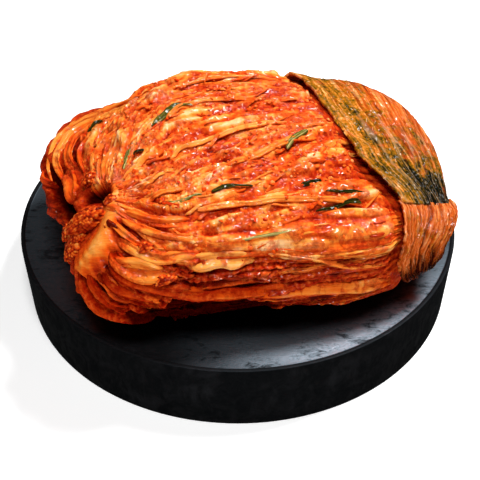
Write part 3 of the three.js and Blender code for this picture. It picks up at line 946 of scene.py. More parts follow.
def wrap_leaf_material(name):
    """A wrapping leaf: olive to near black by tone, stained orange, with pale veins and painted
    shade by depth.
    """
    n = Nodes(name)
    grain = n.attribute("grain", "Vector")
    fibres = n.noise(grain, (30, 560, 1), 5.0, 0.68)
    blotches = n.noise(n.place, 140.0, 4.0, 0.65)
    tone = n.shift(n.shift(n.attribute("tone"), fibres, 1.3), blotches, 1.3)
    tone = n.shift(tone, n.noise(n.place, 640.0, 2.0, 0.6), 1.1)
    body = n.ramp(tone, [
        (0.0, srgb(8, 7, 2)), (0.2, srgb(36, 28, 3)), (0.36, srgb(92, 64, 5)),
        (0.52, srgb(140, 88, 9)), (0.68, srgb(178, 104, 20)), (0.84, srgb(216, 128, 44)),
        (1.0, srgb(242, 176, 104))])
    stain = n.shift(n.shift(n.attribute("stain"), blotches, 2.4), fibres, -2.0)
    stain = n.grey(stain, 0.3, 0, 0.75, 1)
    streaks = n.ramp(fibres, [(0.36, srgb(112, 20, 3)), (0.5, srgb(200, 70, 16)),
                              (0.66, srgb(238, 134, 68))])
    body = n.mix(n.math("MULTIPLY", stain, 0.8), body, streaks)
    veins = n.noise(grain, (9, 240, 1), 0.0)
    veins = n.ramp(veins, [(0.47, (0, 0, 0)), (0.5, (0.25,) * 3), (0.53, (0, 0, 0))])
    body = n.mix(veins, body, srgb(240, 186, 130))
    # Painted shade: darker where the depth is low.
    body = n.in_shade(body, [(0.0, (0.08, 0.05, 0.05)), (0.5, (1, 1, 1))])
    ripples = n.noise(grain, (90, 620, 1), 0.0)
    drops = n.bump(n.math("ADD", ripples, n.noise(n.place, 340.0, 0.0)), 1.0, 0.0024)
    return n.glaze(
        Base_Color=body, Roughness=0.45, Normal=n.bump(fibres, 0.7, 0.0009),
        Coat_Normal=drops, Coat_Weight=0.75, Coat_Roughness=0.08, Coat_IOR=1.42,
        Subsurface_Weight=0.08, Subsurface_Radius=(0.8, 0.6, 0.15))


def green_strip_material():
    n = Nodes("green_strips")
    fibres = n.noise(n.attribute("grain", "Vector"), (60, 1300, 1000), 4.0, 0.6)
    body = n.ramp(n.shift(n.attribute("tone"), fibres, 1.8), [
        (0.05, srgb(16, 18, 3)), (0.4, srgb(42, 44, 8)), (0.7, srgb(100, 92, 20)),
        (1.0, srgb(214, 196, 120))])
    drops = n.bump(n.noise(n.place, 330.0, 0.0), 1.0, 0.003)
    return n.glaze(
        Base_Color=body, Roughness=0.5, Normal=n.bump(fibres, 0.8, 0.0008),
        Coat_Normal=drops, Coat_Weight=0.8, Coat_Roughness=0.06)


def plate_material():
    """Black satin board: brushed, mottled streaks, a painted shine on parts of the top, plainer
    sides.
    """
    n = Nodes("black_board")
    streaks = n.noise(n.place, (130, 330, 80), 4.0, 0.7, 0.8)
    clouds = n.noise(n.place, 70.0, 5.0, 0.7, 0.8)
    mottle = n.math("MULTIPLY_ADD", clouds, 0.6, n.math("MULTIPLY", streaks, 0.5))
    body = n.ramp(mottle, [(0.42, srgb(9, 9, 10)), (0.56, srgb(16, 15, 16)),
                           (0.7, srgb(27, 26, 28))])
    polish = n.grey(mottle, 0.43, 0.1, 0.58, 1.7)
    # The painted shine: a higher specular level where the plate marks it, broken up by the mottle.
    sheen = n.math("MULTIPLY_ADD", n.attribute("sheen"), polish, 0.03)
    bump = n.bump(streaks, 0.12, 0.0012)
    bump = n.bump(n.noise(n.place, 420.0, 2.0, 0.6), 0.12, 0.0004, bump)
    return n.finish(
        Base_Color=body, Roughness=n.grey(mottle, 0.48, 0.6, 0.58, 0.42), Normal=bump, IOR=2.6,
        Specular_IOR_Level=sheen, Specular_Tint=(0.68, 0.85, 1.0, 1.0))


# ---- pieces

class PieceOperator(bpy.types.Operator):
    """Shared options of the operators that make a piece."""

    bl_options = {"REGISTER", "UNDO"}


class KIMCHI_OT_plate(PieceOperator):
    """Makes the round plate with its fine raised rim"""

    bl_idname = "kimchi.plate"
    bl_label = "Plate"

    def execute(self, context):
        rim, lip, recess, ring = np.array([1.8, 0.5, 0.7, 5.0]) * MM
        low, high = (np.array(corner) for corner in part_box("plate"))
        radius, height = (high[0] - low[0]) / 2, high[2] - low[2]
        deselect()
        bpy.ops.mesh.primitive_cylinder_add(
            vertices=160, radius=radius, depth=height, end_fill_type="NGON",
            location=(0, 0, height / 2))
        plate = context.object
        plate.name = plate.data.name = "plate_board"
        bpy.ops.object.transform_apply(location=True, rotation=True, scale=True)

        def sink_top():
            bpy.ops.mesh.inset(thickness=rim)
            bpy.ops.mesh.inset(thickness=lip)
            bpy.ops.transform.translate(value=(0, 0, -recess))
            for _ in range(8):
                bpy.ops.mesh.inset(thickness=ring)

        edit(plate, sink_top, chosen=[face.normal[2] > 0.9 for face in plate.data.polygons])
        edit(plate, lambda: bpy.ops.mesh.inset(thickness=ring),
             chosen=[face.normal[2] < -0.9 for face in plate.data.polygons])
        bevel = plate.modifiers.new("Rounded edges", "BEVEL")
        bevel.width = 0.4 * MM
        bevel.segments = 4
        bevel.limit_method = "ANGLE"
        bevel.angle_limit = math.radians(40)
        bpy.ops.object.modifier_apply(modifier=bevel.name)
        # Painted shine: the top is made more reflective in an arc by the rim at the right, and
        # more weakly at the left, to place reflected light there; the board's own finish does not
        # change there.
        x, y, z = read_points(plate).T
        right = smoothstep(0.086, 0.106, np.hypot(x - 0.02, y + 0.005))
        right = right * smoothstep(-0.04, 0.05, x) * smoothstep(-0.01, 0.07, -y)
        left = smoothstep(0.05, 0.1, -x) * (1 - 0.5 * smoothstep(0.0, 0.07, -y))
        left = left * (0.3 + 0.7 * smoothstep(0.09, 0.11, np.hypot(x, y)))
        on_top = np.abs(z - height + recess) < 0.1 * MM
        write_values(plate, sheen=np.where(on_top, np.maximum(right, 0.3 * left), 0.0))
        finish_piece(plate, "plate_black", plate_material(), "plate", smooth=15)
        return {"FINISHED"}


class KIMCHI_OT_head(PieceOperator):
    """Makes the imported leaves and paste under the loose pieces"""

    bl_idname = "kimchi.head"
    bl_label = "Packed head"

    def execute(self, context):
        cells_long, cells_round, samples = 290, 310, 400
        obj, column, row = add_grid("packed_head", cells_long, cells_round)
        angles = np.linspace(0, np.pi, samples)
        ridge = body_point(leaf_direction(angles, np.full(samples, np.pi / 2)))
        run = np.concatenate([[0], np.cumsum(np.linalg.norm(np.diff(ridge, axis=0), axis=1))])
        along = np.interp(np.linspace(0, run[-1], cells_long + 1), run, angles)[column]
        direction, lift, depth = head_relief(along, row / cells_round)
        stem = 1 - smoothstep(0.3, 0.6, along)
        raised = np.maximum(stem_relief(direction)[0], 0) / 4.2
        smooth = body_point(direction)
        lumps, _ = bits(smooth[:, 1] / 2.8, smooth[:, 2] / 2.4, 12)
        lift = lift + 1.1 * stem * (1 - smoothstep(0.2, 0.6, raised)) * (lumps - 0.3)
        points = smooth + body_normal(direction) * lift[:, None]
        for end in (0, cells_long):
            points[column == end] = points[column == end].mean(0)
        write_points(obj, points)
        spots = layered(*(points.T / 7), seed=11)
        tone = 0.26 + stem * (0.48 * raised + 0.14 * spots + 0.12 * (lumps - 0.3))
        write_values(obj, grain=points * MM, depth=depth, paste=stem * (0.1 - 0.5 * raised),
                     tone=tone)
        edit(obj, lambda: bpy.ops.mesh.remove_doubles(threshold=1e-6), face_outwards)
        material = leaf_material("head_paste", 0.22, 0.5, 0.4)
        finish_piece(obj, "seasoned_cabbage", material, "cabbage_head")
        return {"FINISHED"}


class KIMCHI_OT_stem_leaves(PieceOperator):
    """Makes the thick leaf stems that curve out of the cut stem"""

    bl_idname = "kimchi.stem_leaves"
    bl_label = "Stem leaves"

    def execute(self, context):
        material = leaf_material("stem_leaf", 0.36, 0.75, 0.4, 1.1)
        paths, width, lift, tone = placed_leaves(STEM_LEAVES, 60)
        obj = ribbon_sheet("stem_leaves", paths, 12, width, lift, tone, camber=0.17,
                           tilt=0.15, dip=4.5, rough=0.3, wiggle=0.45, seed=70, lay=False)
        finish_sheet(obj, 2.2, material)
        finish_sheet(fan_sheet(), 1.0, material)
        return {"FINISHED"}


class KIMCHI_OT_front_leaves(PieceOperator):
    """Makes the broad leaves on the front, the stem end and the back"""

    bl_idname = "kimchi.front_leaves"
    bl_label = "Front leaves"

    def execute(self, context):
        loose_leaves(
            "front_leaves", leaf_material("front_leaf", 0.28, 0.7), 1.4,
            np.random.default_rng(12),
            (context.scene.kimchi_sizes.front_leaves, (20, 143), (118, 385)), 60, 8,
            length=(30, 80), near_stem=(1.2, 0.4), turn=0.05, width=(4.0, 8.0),
            lift=(-0.4, 1.4), tone=(0.08, 0.46), camber=0.12, tilt=0.22, dip=3.4,
            wiggle=0.6, seed=71)
        return {"FINISHED"}


class KIMCHI_OT_cut_leaves(PieceOperator):
    """Makes the leaf edges that run over the cut face, long ones under short ones"""

    bl_idname = "kimchi.cut_leaves"
    bl_label = "Cut leaves"

    def execute(self, context):
        sizes = context.scene.kimchi_sizes
        random = np.random.default_rng(5)
        material = leaf_material("cut_leaf", 0.3, 0.5)
        loose_leaves(
            "long_leaves", material, 1.0, random,
            (sizes.long_leaves, (16, 24), (126, 146)), 56, 6,
            length=(28, 70), near_stem=(1.1, 0.35), turn=0.08, width=(2.2, 4.4),
            lift=(-0.6, 1.4), tone=(0.56, 0.16, 0.3, 0.85), seed=72)
        loose_leaves(
            "short_leaves", material, 0.8, random,
            (sizes.short_leaves, (14, 24), (128, 146)), 26, 5,
            length=(9, 30), near_stem=(1.1, 0.4), turn=0.2, width=(1.4, 3.4),
            lift=(-0.5, 0.6), tone=(0.5, 0.14, 0.25, 0.7), blur=5, camber=0.12, dip=1.8,
            wiggle=1.4, seed=73)
        loose_leaves(
            "top_leaves", material, 0.9, random,
            (sizes.top_leaves, (30, 30), (120, 142)), 50, 6,
            length=(25, 60), near_stem=(1.1, 0.35), turn=0.07, width=(2.0, 4.2),
            lift=0.9, tone=(0.46, 0.8), blur=6, level=0.0, camber=0.2, tilt=0.2, dip=2.4,
            seed=75)
        return {"FINISHED"}


# The two wet layers: their corners along and round the head in degrees, their cells each
# way, and how far they lie off the leaves below.
PASTE_FILMS = (
    ("paste_face", (12, 16), (131, 156), (350, 262), 0.1),
    ("paste_front", (24, 148), (132, 262), (300, 240), -0.4),
)
FILM_SKIRT = 3.0


class KIMCHI_OT_paste(PieceOperator):
    """Makes the wet layer of chopped seasoning that lies between the leaf edges"""

    bl_idname = "kimchi.paste"
    bl_label = "Paste"

    def execute(self, context):
        material = leaf_material("wet_paste", 0.3, 0.75, 0.4)
        for film in PASTE_FILMS:
            obj = paste_film(*film)
            close_below(obj, FILM_SKIRT)
            finish_piece(obj, "seasoned_cabbage", material)
        return {"FINISHED"}


# How many folds go round the whole head, how many times the rim that sinks goes into a
# layer's length and width, how far it sinks, and the route of the red seasoning between the
# front leaves, as degrees along the head and degrees round it.
FOLDS_ROUND = 58
FILM_RIMS, RIM_SINK = (30, 22), 5.0
RED_LAYER = ((48, 70, 83, 97, 107, 118, 126), (156, 160, 158, 161, 168, 179, 182))


def gathers(along, around):
    """Where chopped seasoning gathers: in drifts, by the fold and between the front leaves."""
    drifts = 0.5 + 0.5 * noise(7 * along, 7 * around, seed=33)
    a, v = np.degrees(along), np.degrees(around)
    patch = np.exp(-((a - 114) / 12) ** 2 - ((v - 104) / 14) ** 2)
    layer = np.exp(-((v - np.interp(a, *RED_LAYER)) / 4.5) ** 2)
    return np.clip(0.1 + drifts ** 2 + 0.8 * patch + layer * band(40, 52, 124, 132, a), 0, 1)


def paste_film(name, low, high, cells, level):
    """A wet layer between two corners in degrees, drawn into folds and strands."""
    obj, column, row = add_grid(name, *cells)
    u, w = column / cells[0], row / cells[1]
    a, v = low[0] + (high[0] - low[0]) * u, low[1] + (high[1] - low[1]) * w
    along, around = np.radians(a), np.radians(v)
    direction, points, normals = on_head(along, around)
    x, y, z = points.T
    lane = laid.lane(along, around)
    below = laid.read(along, around, soften(laid.lift, 3))
    # The lift against its wide blur: low in the grooves, where it paints shade, and high on the
    # crests.
    groove = below - laid.read(along, around, soften(laid.lift, 40))
    colour = laid.read(along, around, soften(laid.tone, 2))
    # Where the film lies: on the front, at the stem and on the smooth leaf above the front.
    front = smoothstep(138, 156, v)
    stem_side = 1 - smoothstep(34, 62, a)
    sheet = smoothstep(86, 98, a) * band(134, 142, 150, 156, v)
    chunky = gathers(along, around)
    red = smoothstep(0.5, 0.9, chunky) * front * (1 - 0.6 * smoothstep(1.7, 1.95, along))
    # Its patterns, from wide to fine.
    pools = layered(x / 13, y / 9, z / 9, seed=61)
    wander = 0.7 * noise(2.4 * along, 5.0 * lane, seed=60)
    fold = leaf_edge((FOLDS_ROUND / (2 * np.pi) * lane + wander) % 1.0, 0.3) - 0.55
    fold *= 0.5 + 0.8 * noise(3.0 * along, 11 * lane, seed=66)
    strand = bundles(2.8 * along + 0.4 * wander, 21 * lane, 67) - 0.6
    strand += 0.5 * (1 - front) * (bundles(5.0 * along, 48 * lane, 69) - 0.6)
    fibre = noise(12 * along, 70 * lane, seed=68) * (1 - 0.6 * front)
    chop, bit = bits(x / 2.5 + 0.9 * pools + 0.6 * noise(y / 3, z / 3, seed=65),
                     (y - z) / 1.7 + 0.6 * fibre + 0.6 * noise(x / 4, y / 9, seed=63), seed=62)
    lumps = (0.2 + chunky + red) * smoothstep(34, 66, a) * (chop - 0.3)
    lumps *= (1 - 0.9 * smoothstep(0.5, 0.7, colour)) * (1 - 0.85 * sheet)
    lift = below + level + (1.2 + 1.2 * front) * fold + 0.8 * strand + 0.2 * fibre
    lift += 0.5 * pools + lumps + 0.25 * noise(x / 1.6, y / 1.3, z / 1.3, seed=64)
    lift += 1.2 * red - FILM_TUCK * under_wrap(direction) - 1.6 * front * stem_side
    rim = np.minimum(*(np.minimum(share, 1 - share) * count
                       for share, count in zip((u, w), FILM_RIMS)))
    lift -= RIM_SINK * (1 - smoothstep(0, 1, rim))
    write_points(obj, points + normals * lift[:, None])
    # Its tone; the groove term darkens the grooves as painted shade.
    tone = 0.24 - 0.08 * front + 0.45 * colour + 0.2 * fold + (0.14 + 0.14 * sheet) * strand
    tone += (0.08 + 0.2 * chunky) * (1 - 0.9 * sheet) * (bit - 0.5) + 0.1 * (chop - 0.3)
    tone += 0.12 * groove + 0.05 * sheet + 0.13 * stem_side * (1 - front)
    tone = np.clip(tone + 0.1 * fibre + 0.24 * pools - 0.08 * chunky - 0.24 * red, 0, 1)
    # Painted shade: the depth falls in folds and grooves, in the hollows by the stem, on the
    # undercut and lower front, in the red layer, and in a band along the wrapping leaf's edge as a
    # painted shadow.
    past_edge = direction[:, 0] + 0.02 - wrap_start(wrap_angle(direction))
    depth = 0.62 + (0.2 + 0.2 * front) * fold + 0.2 * strand + 0.2 * groove
    depth += stem_relief(direction)[1] - 0.8 * undercut(along, around)
    depth += (0.25 + 0.3 * red) * lumps - 0.3 * red - 0.4 * np.exp(-(past_edge / 0.022) ** 2)
    write_values(
        obj, grain=np.stack([90 * along, 62 * lane, 0 * u], -1) * MM, tone=tone,
        paste=0.03 + 0.06 * front + 0.2 * red + 0.1 * chunky - 0.14 * pools,
        depth=depth - 0.3 * low_front(along, around))
    laid.lay(along, around, lift, tone)
    return obj


def close_below(obj, depth):
    """Closes a domed sheet with a skirt of a depth in millimetres and one face below it."""
    edit(obj, bpy.ops.mesh.region_to_loop,
         lambda: bpy.ops.mesh.extrude_edges_move(
             TRANSFORM_OT_translate={"value": (0, 0, -depth * MM)}),
         bpy.ops.mesh.edge_face_add,
         lambda: bpy.ops.mesh.select_all(action="SELECT"), face_outwards)


# Long strands that stand out on the cut face: angles in degrees, width and tone.
FACE_STRANDS = (
    (((71, 97), (82, 92), (90, 91), (97, 87), (104, 84), (111, 82)), 3.2, 0.66),
    (((96, 105), (104, 99), (111, 93), (116, 90)), 3.0, 0.6),
    (((88, 60), (92, 59), (101, 57), (111, 58)), 2.6, 0.62),
    (((26, 90), (38, 91), (48, 90), (60, 91), (70, 89)), 2.6, 0.58),
    (((30, 124), (45, 119), (65, 115), (82, 114)), 2.4, 0.56),
    (((30, 112), (46, 108), (62, 104), (74, 103)), 2.6, 0.6),
    (((78, 76), (88, 73), (98, 70), (108, 71)), 2.6, 0.56),
    (((84, 125), (96, 124), (108, 124), (118, 128)), 2.8, 0.64),
)


class KIMCHI_OT_shreds(PieceOperator):
    """Makes the fine strands of leaf and radish between the leaf edges"""

    bl_idname = "kimchi.shreds"
    bl_label = "Shreds"

    def execute(self, context):
        material = leaf_material("shred", 0.25, 0.5)
        paths, width, tone = placed_leaves(FACE_STRANDS, 70)
        obj = ribbon_sheet("face_strands", paths, 8, width, laid.under(paths, 8) + 0.8, tone,
                           camber=0.24, dip=1.6, rough=0.4, wiggle=0.4, seed=79)
        finish_sheet(obj, 0.9, material)
        loose_leaves(
            "shreds", material, 0.7, np.random.default_rng(9),
            (context.scene.kimchi_sizes.shreds, (14, 24), (128, 148)), 14, 4,
            length=(4, 13), turn=0.42, width=(0.8, 1.8), lift=(-0.3, 0.5),
            tone=(0.46, 0.14, 0.25, 0.68), blur=3, camber=0.25, dip=1.0, rough=0.15, seed=74)
        return {"FINISHED"}


def loose_places(random, count, favour=None):
    """Random places on the open head, their normals, and the lift of what lies there."""
    along, around = open_places(random, count, (8, 22), (128, 150), favour)
    _, points, normals = on_head(along, around)
    return points, normals, laid.read(along, around)


def scatter(name, random, places, sizes, normals):
    """One mesh that repeats a rounded cube, each with its own size and turn.

    Also gives the number of vertices in each.
    """
    deselect()
    bpy.ops.mesh.primitive_cube_add(size=1.5)
    ball = bpy.context.object
    edit(ball, lambda: bpy.ops.mesh.subdivide(number_cuts=1),
         lambda: bpy.ops.transform.tosphere(value=1.0))
    base = read_points(ball)
    base_faces = np.array([tuple(face.vertices) for face in ball.data.polygons])
    bpy.data.objects.remove(ball, do_unlink=True)
    count = len(places)
    turns = random.uniform(0, 6.3, count)
    tangent = unit(np.cross(normals, unit(np.random.default_rng(2).normal(size=(count, 3)))))
    other = np.cross(normals, tangent)
    c, s = np.cos(turns)[:, None], np.sin(turns)[:, None]
    axes = np.stack([c * tangent + s * other, c * other - s * tangent, normals], 1)
    offsets = np.einsum("vk,nk,nkd->nvd", base, sizes, axes)
    middles = places[:, None, :]
    lumps = 1 + 0.4 * noise(*np.moveaxis(1.9 * (offsets + middles), -1, 0), seed=30)
    points = middles + offsets * lumps[..., None]
    faces = base_faces[None] + len(base) * np.arange(count)[:, None, None]
    mesh = bpy.data.meshes.new(name)
    mesh.from_pydata((points.reshape(-1, 3) * MM).tolist(), [],
                     faces.reshape(-1, base_faces.shape[1]).tolist())
    obj = bpy.data.objects.new(name, mesh)
    bpy.context.collection.objects.link(obj)
    return obj, len(base)


# Clumps of seasoning: angles along and round the head in degrees, lift, then half sizes.
CLUMPS = (
    (5.0, 250, 1.2, (12.0, 5.6, 4.6)),
    (9.5, 120, 0.5, (4.0, 3.0, 2.6)),
    (59, 163, 0.6, (6.0, 2.6, 2.0)),
    (43, 150, 0.6, (4.0, 2.4, 2.0)),
    (19, 32, -1.6, (5.4, 4.2, 3.0)),
    (10, 263, -1.0, (6.5, 6.0, 2.6)),
    (17, 253, -1.0, (6.5, 5.0, 2.6)),
    (15, 288, -0.8, (4.0, 5.0, 2.4)),
)


class KIMCHI_OT_clumps(PieceOperator):
    """Makes the wet clumps of seasoning at the stem"""

    bl_idname = "kimchi.clumps"
    bl_label = "Clumps"

    def execute(self, context):
        material = leaf_material("clump_paste", 0.22, 0.4, 0.4)
        aside = unit(np.array([1.0, 0.1, 0.2]))
        for index, (along, around, lift, half) in enumerate(CLUMPS, 1):
            _, place, normal = on_head(np.radians([along]), np.radians([around]))
            ahead = unit(np.cross(normal[0], aside))
            axes = np.stack([unit(np.cross(ahead, normal[0])), ahead, normal[0]])
            deselect()
            bpy.ops.mesh.primitive_ico_sphere_add(subdivisions=5, radius=1.0)
            obj = context.object
            obj.name = obj.data.name = f"clump_{index}"
            ball = read_points(obj)
            bumps, tone = bits(ball[:, 0] * half[0] / 1.3 + 3, ball[:, 1] * half[1] / 1.2, 90)
            size = 0.9 + 0.12 * bumps + 0.26 * layered(*(ball.T * 1.6), seed=91)
            write_points(obj, place + lift * normal + (ball * size[:, None] * half) @ axes)
            # Painted shade: the depth falls and the tone drops between the bumps.
            write_values(obj, grain=ball * np.array(half) * MM,
                         tone=0.3 * tone + 0.26 * bumps, depth=0.3 + 0.7 * bumps)
            finish_piece(obj, "seasoned_cabbage", material)
        return {"FINISHED"}


class KIMCHI_OT_seasoning(PieceOperator):
    """Scatters crumbs of garlic, ginger and chilli over the open head"""

    bl_idname = "kimchi.seasoning"
    bl_label = "Seasoning crumbs"

    def execute(self, context):
        random = np.random.default_rng(21)
        points, normals, lift = loose_places(
            random, context.scene.kimchi_sizes.crumbs, gathers)
        count = len(lift)
        size = random.uniform(0.4, 1.05, count) ** 1.3
        places = points + normals * (lift - 0.35 * size)[:, None]
        sizes = size[:, None] * random.uniform([0.8, 0.7, 0.4], [1.5, 1.1, 0.7], (count, 3))
        obj, corners = scatter("seasoning", random, places, sizes, normals)
        tone = np.clip(random.normal(0.48, 0.18, count), 0, 0.9)
        write_values(obj, tone=np.repeat(tone, corners))
        finish_piece(obj, "seasoned_cabbage", crumb_material())
        return {"FINISHED"}


class KIMCHI_OT_flakes(PieceOperator):
    """Scatters flat chilli flakes over the open head"""

    bl_idname = "kimchi.flakes"
    bl_label = "Chilli flakes"

    def execute(self, context):
        random = np.random.default_rng(22)
        points, normals, lift = loose_places(random, context.scene.kimchi_sizes.flakes)
        count = len(lift)
        lean = unit(normals + 0.5 * random.normal(size=(count, 3)))
        sizes = random.uniform([0.5, 0.4, 0.12], [1.2, 0.9, 0.2], (count, 3))
        places = points + normals * (lift + 0.1)[:, None]
        obj, _ = scatter("chilli_flakes", random, places, sizes, lean)
        finish_piece(obj, "seasoned_cabbage", flake_material(), smooth=60)
        return {"FINISHED"}


# The wrapping leaves, in millimetres: their bed off the smooth form, their thickness, how
# deep they tuck in where they overlap, and how far the green one settles behind its curl.
WRAP_BED, WRAP_THICKNESS, WRAP_TUCK, WRAP_SETTLE = -1.5, 1.5, 3.0, 2.4
WRAP_CELLS = 240, 150


def wrap_direction(angle, share):
    """Directions on the folded end, from a leaf's free edge to the middle of the end."""
    spread = 0.5 + 0.5 * smoothstep(WRAP_BOTTOM, math.radians(45), angle)
    start = wrap_start(angle)
    x = start + share * (WRAP_END - start) * spread
    r = np.sqrt(1 - x * x)
    return np.stack([x, -r * np.cos(angle), r * np.sin(angle)], -1)


def wrap_sheet(name, start, end, flare, veins, relief, sink):
    """A wrapping leaf as a sheet with veins that run round the loaf.

    start and end give its first and last angle round the loaf, and how far they fall from
    its free edge to the middle of the end.
    """
    obj, column, row = add_grid(name, *WRAP_CELLS)
    u, w = column / WRAP_CELLS[0], row / WRAP_CELLS[1]
    ragged = 0.016 * noise(16 * u, 3.0, seed=41) + 0.008 * noise(60 * u, 3.0, seed=42)
    first, last = (angle - fall * w for angle, fall in (start, end))
    angle = first + (last - first) * u
    direction = wrap_direction(angle, w + ragged * (1 - w) ** 8)
    wander = 0.035 * noise(3 * u, 4 * w, seed=43) + 0.008 * noise(14 * u, 16 * w, seed=49)
    strands = 2 * bundles(u, veins * (w + wander), 44) - 1
    threads = 2 * bundles(2 * u, 2.6 * veins * (w + wander), 45) - 1
    relief = relief * (0.25 + 0.75 * smoothstep(0, 0.15, u))
    folds = noise(2.5 * u, 5.0 * (w + 0.6 * wander), seed=46)
    lift = WRAP_BED + 0.8 * (1 + folds) + relief * (0.7 * strands + 0.35 * threads)
    lift = lift + 0.45 * layered(20 * u, 24 * w, seed=47)
    curl = flare * (1 - 0.9 * smoothstep(0.3, 0.46, u)) * (0.7 + 0.3 * noise(9 * u, 1.0, seed=48))
    lift = lift + curl * (1 - smoothstep(0, 0.2, w)) - sink * (1 - smoothstep(0, 0.16, u))
    reach = np.where(angle > WRAP_SPLIT, 0.9, 0.35)
    overlap = smoothstep(0.25, 0.7, w) * smoothstep(0, 1, 1 - np.abs(angle - WRAP_SPLIT) / reach)
    settled = smoothstep(0.34, 0.46, u) * (1 - smoothstep(0.1, 0.35, w)) * (flare > 0)
    lift = lift - WRAP_TUCK * overlap - WRAP_SETTLE * settled
    write_points(obj, body_point(direction) + body_normal(direction) * lift[:, None])
    write_values(obj, grain=np.stack([120 * u, 60 * (w + wander), 0 * w], -1) * MM)
    return obj, u, w, 0.6 * strands + 0.4 * threads


class KIMCHI_OT_green_leaf(PieceOperator):
    """Makes the green outer leaf that wraps the folded end"""

    bl_idname = "kimchi.green_leaf"
    bl_label = "Green leaf"

    def execute(self, context):
        obj, u, w, strands = wrap_sheet(
            "green_wrap", (WRAP_SPLIT + 0.02, WRAP_SPLIT_FALL), (WRAP_BACK, 0), 2.2, 20,
            0.5, 0.0)
        low = 1 - smoothstep(0.0, 0.36, u)
        back = smoothstep(0.25, 0.65, u) * smoothstep(0.12, 0.45, w)
        tone = 0.36 + 0.1 * smoothstep(0.3, 0.6, u) + 0.14 * strands + 0.1 * back
        tone += 0.12 * (1 - smoothstep(0.0, 0.16, w)) - 0.7 * low * smoothstep(0.05, 0.5, w)
        # The tone falls towards the lower end; the depth paints shade between the strands.
        write_values(obj, tone=tone, stain=0.2 + 0.6 * back - 0.35 * low,
                     depth=0.5 + 0.25 * strands)
        finish_sheet(obj, WRAP_THICKNESS, wrap_leaf_material("green_leaf"), "green_leaf",
                     "green_leaf", offset=1.0)
        return {"FINISHED"}


class KIMCHI_OT_end_leaf(PieceOperator):
    """Makes the fibrous orange leaf under the green one"""

    bl_idname = "kimchi.end_leaf"
    bl_label = "End leaf"

    def execute(self, context):
        obj, u, w, strands = wrap_sheet(
            "end_wrap", (WRAP_BOTTOM, 0), (WRAP_SPLIT + 0.04, WRAP_SPLIT_FALL), 0.0, 25,
            0.85, 5.0)
        low = 1 - smoothstep(0.2, 0.6, u)
        # Painted shade: darker between the strands and towards the lower end, which also takes a
        # lower tone; the tone also falls towards the middle of the end.
        write_values(
            obj, tone=0.56 + 0.24 * strands - 0.28 * low - 0.14 * smoothstep(0.4, 0.8, w),
            stain=0.9 + 0 * u, depth=0.27 + 0.5 * strands - 0.7 * low)
        finish_sheet(obj, WRAP_THICKNESS, wrap_leaf_material("end_leaf"), "end_leaf",
                     "end_leaf", offset=1.0)
        return {"FINISHED"}


# Where each green strip starts and ends on the head, in degrees, its width and its tone.
GREEN_STRIPS = (
    ((43.5, 28), (49.5, 37.5), 5.0, 0.3),
    ((27, 78), (42, 74.5), 4.6, 0.68),
    ((40.5, 80.5), (51, 84), 4.4, 0.1),
    ((66, 77), (92, 72.5), 5.2, 0.6),
    ((55, 123.5), (88, 118.8), 5.0, 0.72),
    ((91, 118), (100, 117), 4.6, 0.35),
    ((109, 98.5), (114.3, 88), 5.4, 0.7),
    ((112.2, 121), (119.3, 123.5), 4.4, 0.25),
    ((109, 130.5), (117.6, 127.5), 4.4, 0.35),
    ((95.6, 139), (105, 137.4), 4.0, 0.85),
    ((108.6, 116.8), (112.6, 115.8), 3.4, 0.2),
)


class KIMCHI_OT_green_strips(PieceOperator):
    """Makes the short green leaf pieces in the cut face"""

    bl_idname = "kimchi.green_strips"
    bl_label = "Green strips"

    def execute(self, context):
        material = green_strip_material()
        for index, (start, end, width, tone) in enumerate(GREEN_STRIPS, 1):
            path = leaf_spline((start, end), 31)[None]
            below = laid.under(path, 4)
            obj = ribbon_sheet(
                f"green_piece_{index}", path, 6, np.array([0.42 * width]),
                0.6 * below + 0.4 * below.mean() + 0.5, np.array([tone]), camber=0.2,
                tilt=0.8, dip=0.8, wiggle=1.4, seed=80 + index, lay=False)
            finish_sheet(obj, 0.6, material, "green_strip", f"green_strip_{index}")
        return {"FINISHED"}


# ---- floor, lights and camera

# Each light's name, place, size and power; all of them face one point on the food.
LIGHTS = (
    ("key", (0.0, -0.35, 1.0), 0.26, 6.0),
    ("back", (0.42, 0.16, 0.98), 0.2, 11.5),
)
LIT_POINT = (0, -0.02, 0.06)
CAMERA_AT = (0.0012, -0.35627, 0.31633)
CAMERA_TARGET = (0.0012, -0.02808, 0.038)
CAMERA_LENS = 60.0


def place_facing(name, data, location, target):
    """Puts a light or a camera in the scene, facing a target."""
    obj = bpy.data.objects.new(name, data)
    bpy.context.collection.objects.link(obj)
    obj.location = location
    direction = Vector(target) - obj.location
    obj.rotation_euler = direction.to_track_quat("-Z", "Y").to_euler()
    return obj


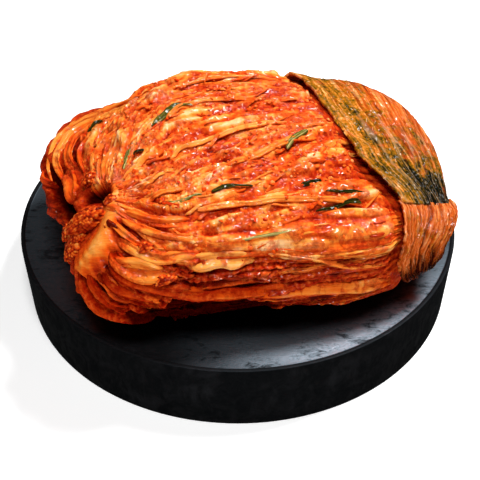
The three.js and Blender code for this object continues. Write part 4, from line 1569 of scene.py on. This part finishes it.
class KIMCHI_OT_stage(PieceOperator):
    """Sets the floor, the soft studio lights and the camera"""

    bl_idname = "kimchi.stage"
    bl_label = "Stage"

    def execute(self, context):
        scene = context.scene
        scene.view_settings.view_transform = "Standard"
        deselect()
        bpy.ops.mesh.primitive_plane_add(size=6.0, location=(0, 0, 0))
        floor = context.object
        floor.name = "floor"
        floor.data.materials.append(Nodes("floor_white").finish(
            Base_Color=(0.92, 0.92, 0.92, 1), Roughness=0.9,
            Emission_Color=(1, 1, 1, 1), Emission_Strength=0.4))
        floor.visible_glossy = False
        scene.world = bpy.data.worlds.new("studio")
        scene.world.use_nodes = True
        glow = scene.world.node_tree.nodes["Background"].inputs
        glow["Color"].default_value = (1, 1, 1, 1)
        glow["Strength"].default_value = 0.04
        for name, location, size, power in LIGHTS:
            data = bpy.data.lights.new(name, "AREA")
            data.size, data.energy = size, power
            place_facing(name, data, location, LIT_POINT)
        data = bpy.data.cameras.new("camera")
        data.lens = CAMERA_LENS
        scene.camera = place_facing("camera", data, CAMERA_AT, CAMERA_TARGET)
        return {"FINISHED"}


# ---- add-on

STEPS = (
    KIMCHI_OT_plate, KIMCHI_OT_head, KIMCHI_OT_stem_leaves, KIMCHI_OT_front_leaves,
    KIMCHI_OT_cut_leaves, KIMCHI_OT_paste, KIMCHI_OT_shreds, KIMCHI_OT_clumps,
    KIMCHI_OT_seasoning, KIMCHI_OT_flakes, KIMCHI_OT_green_leaf, KIMCHI_OT_end_leaf,
    KIMCHI_OT_green_strips, KIMCHI_OT_stage,
)


class KIMCHI_PT_panel(bpy.types.Panel):
    """Lists the steps that build the kimchi"""

    bl_idname = "KIMCHI_PT_panel"
    bl_label = "Cabbage kimchi"
    bl_space_type = "VIEW_3D"
    bl_region_type = "UI"
    bl_category = "Kimchi"

    def draw(self, context):
        for group in (context.scene.kimchi_sizes, context.scene.kimchi_colours):
            for name in group.__annotations__:
                self.layout.prop(group, name)
        for step in STEPS:
            self.layout.operator(step.bl_idname)


CLASSES = (KimchiSizes, KimchiColours, *STEPS, KIMCHI_PT_panel)


def register():
    for cls in CLASSES:
        bpy.utils.register_class(cls)
    bpy.types.Scene.kimchi_sizes = PointerProperty(type=KimchiSizes)
    bpy.types.Scene.kimchi_colours = PointerProperty(type=KimchiColours)


def unregister():
    del bpy.types.Scene.kimchi_sizes
    del bpy.types.Scene.kimchi_colours
    for cls in reversed(CLASSES):
        bpy.utils.unregister_class(cls)


def main():
    register()
    for step in STEPS:
        group, name = step.bl_idname.split(".")
        getattr(getattr(bpy.ops, group), name)()


if __name__ == "__main__":
    main()
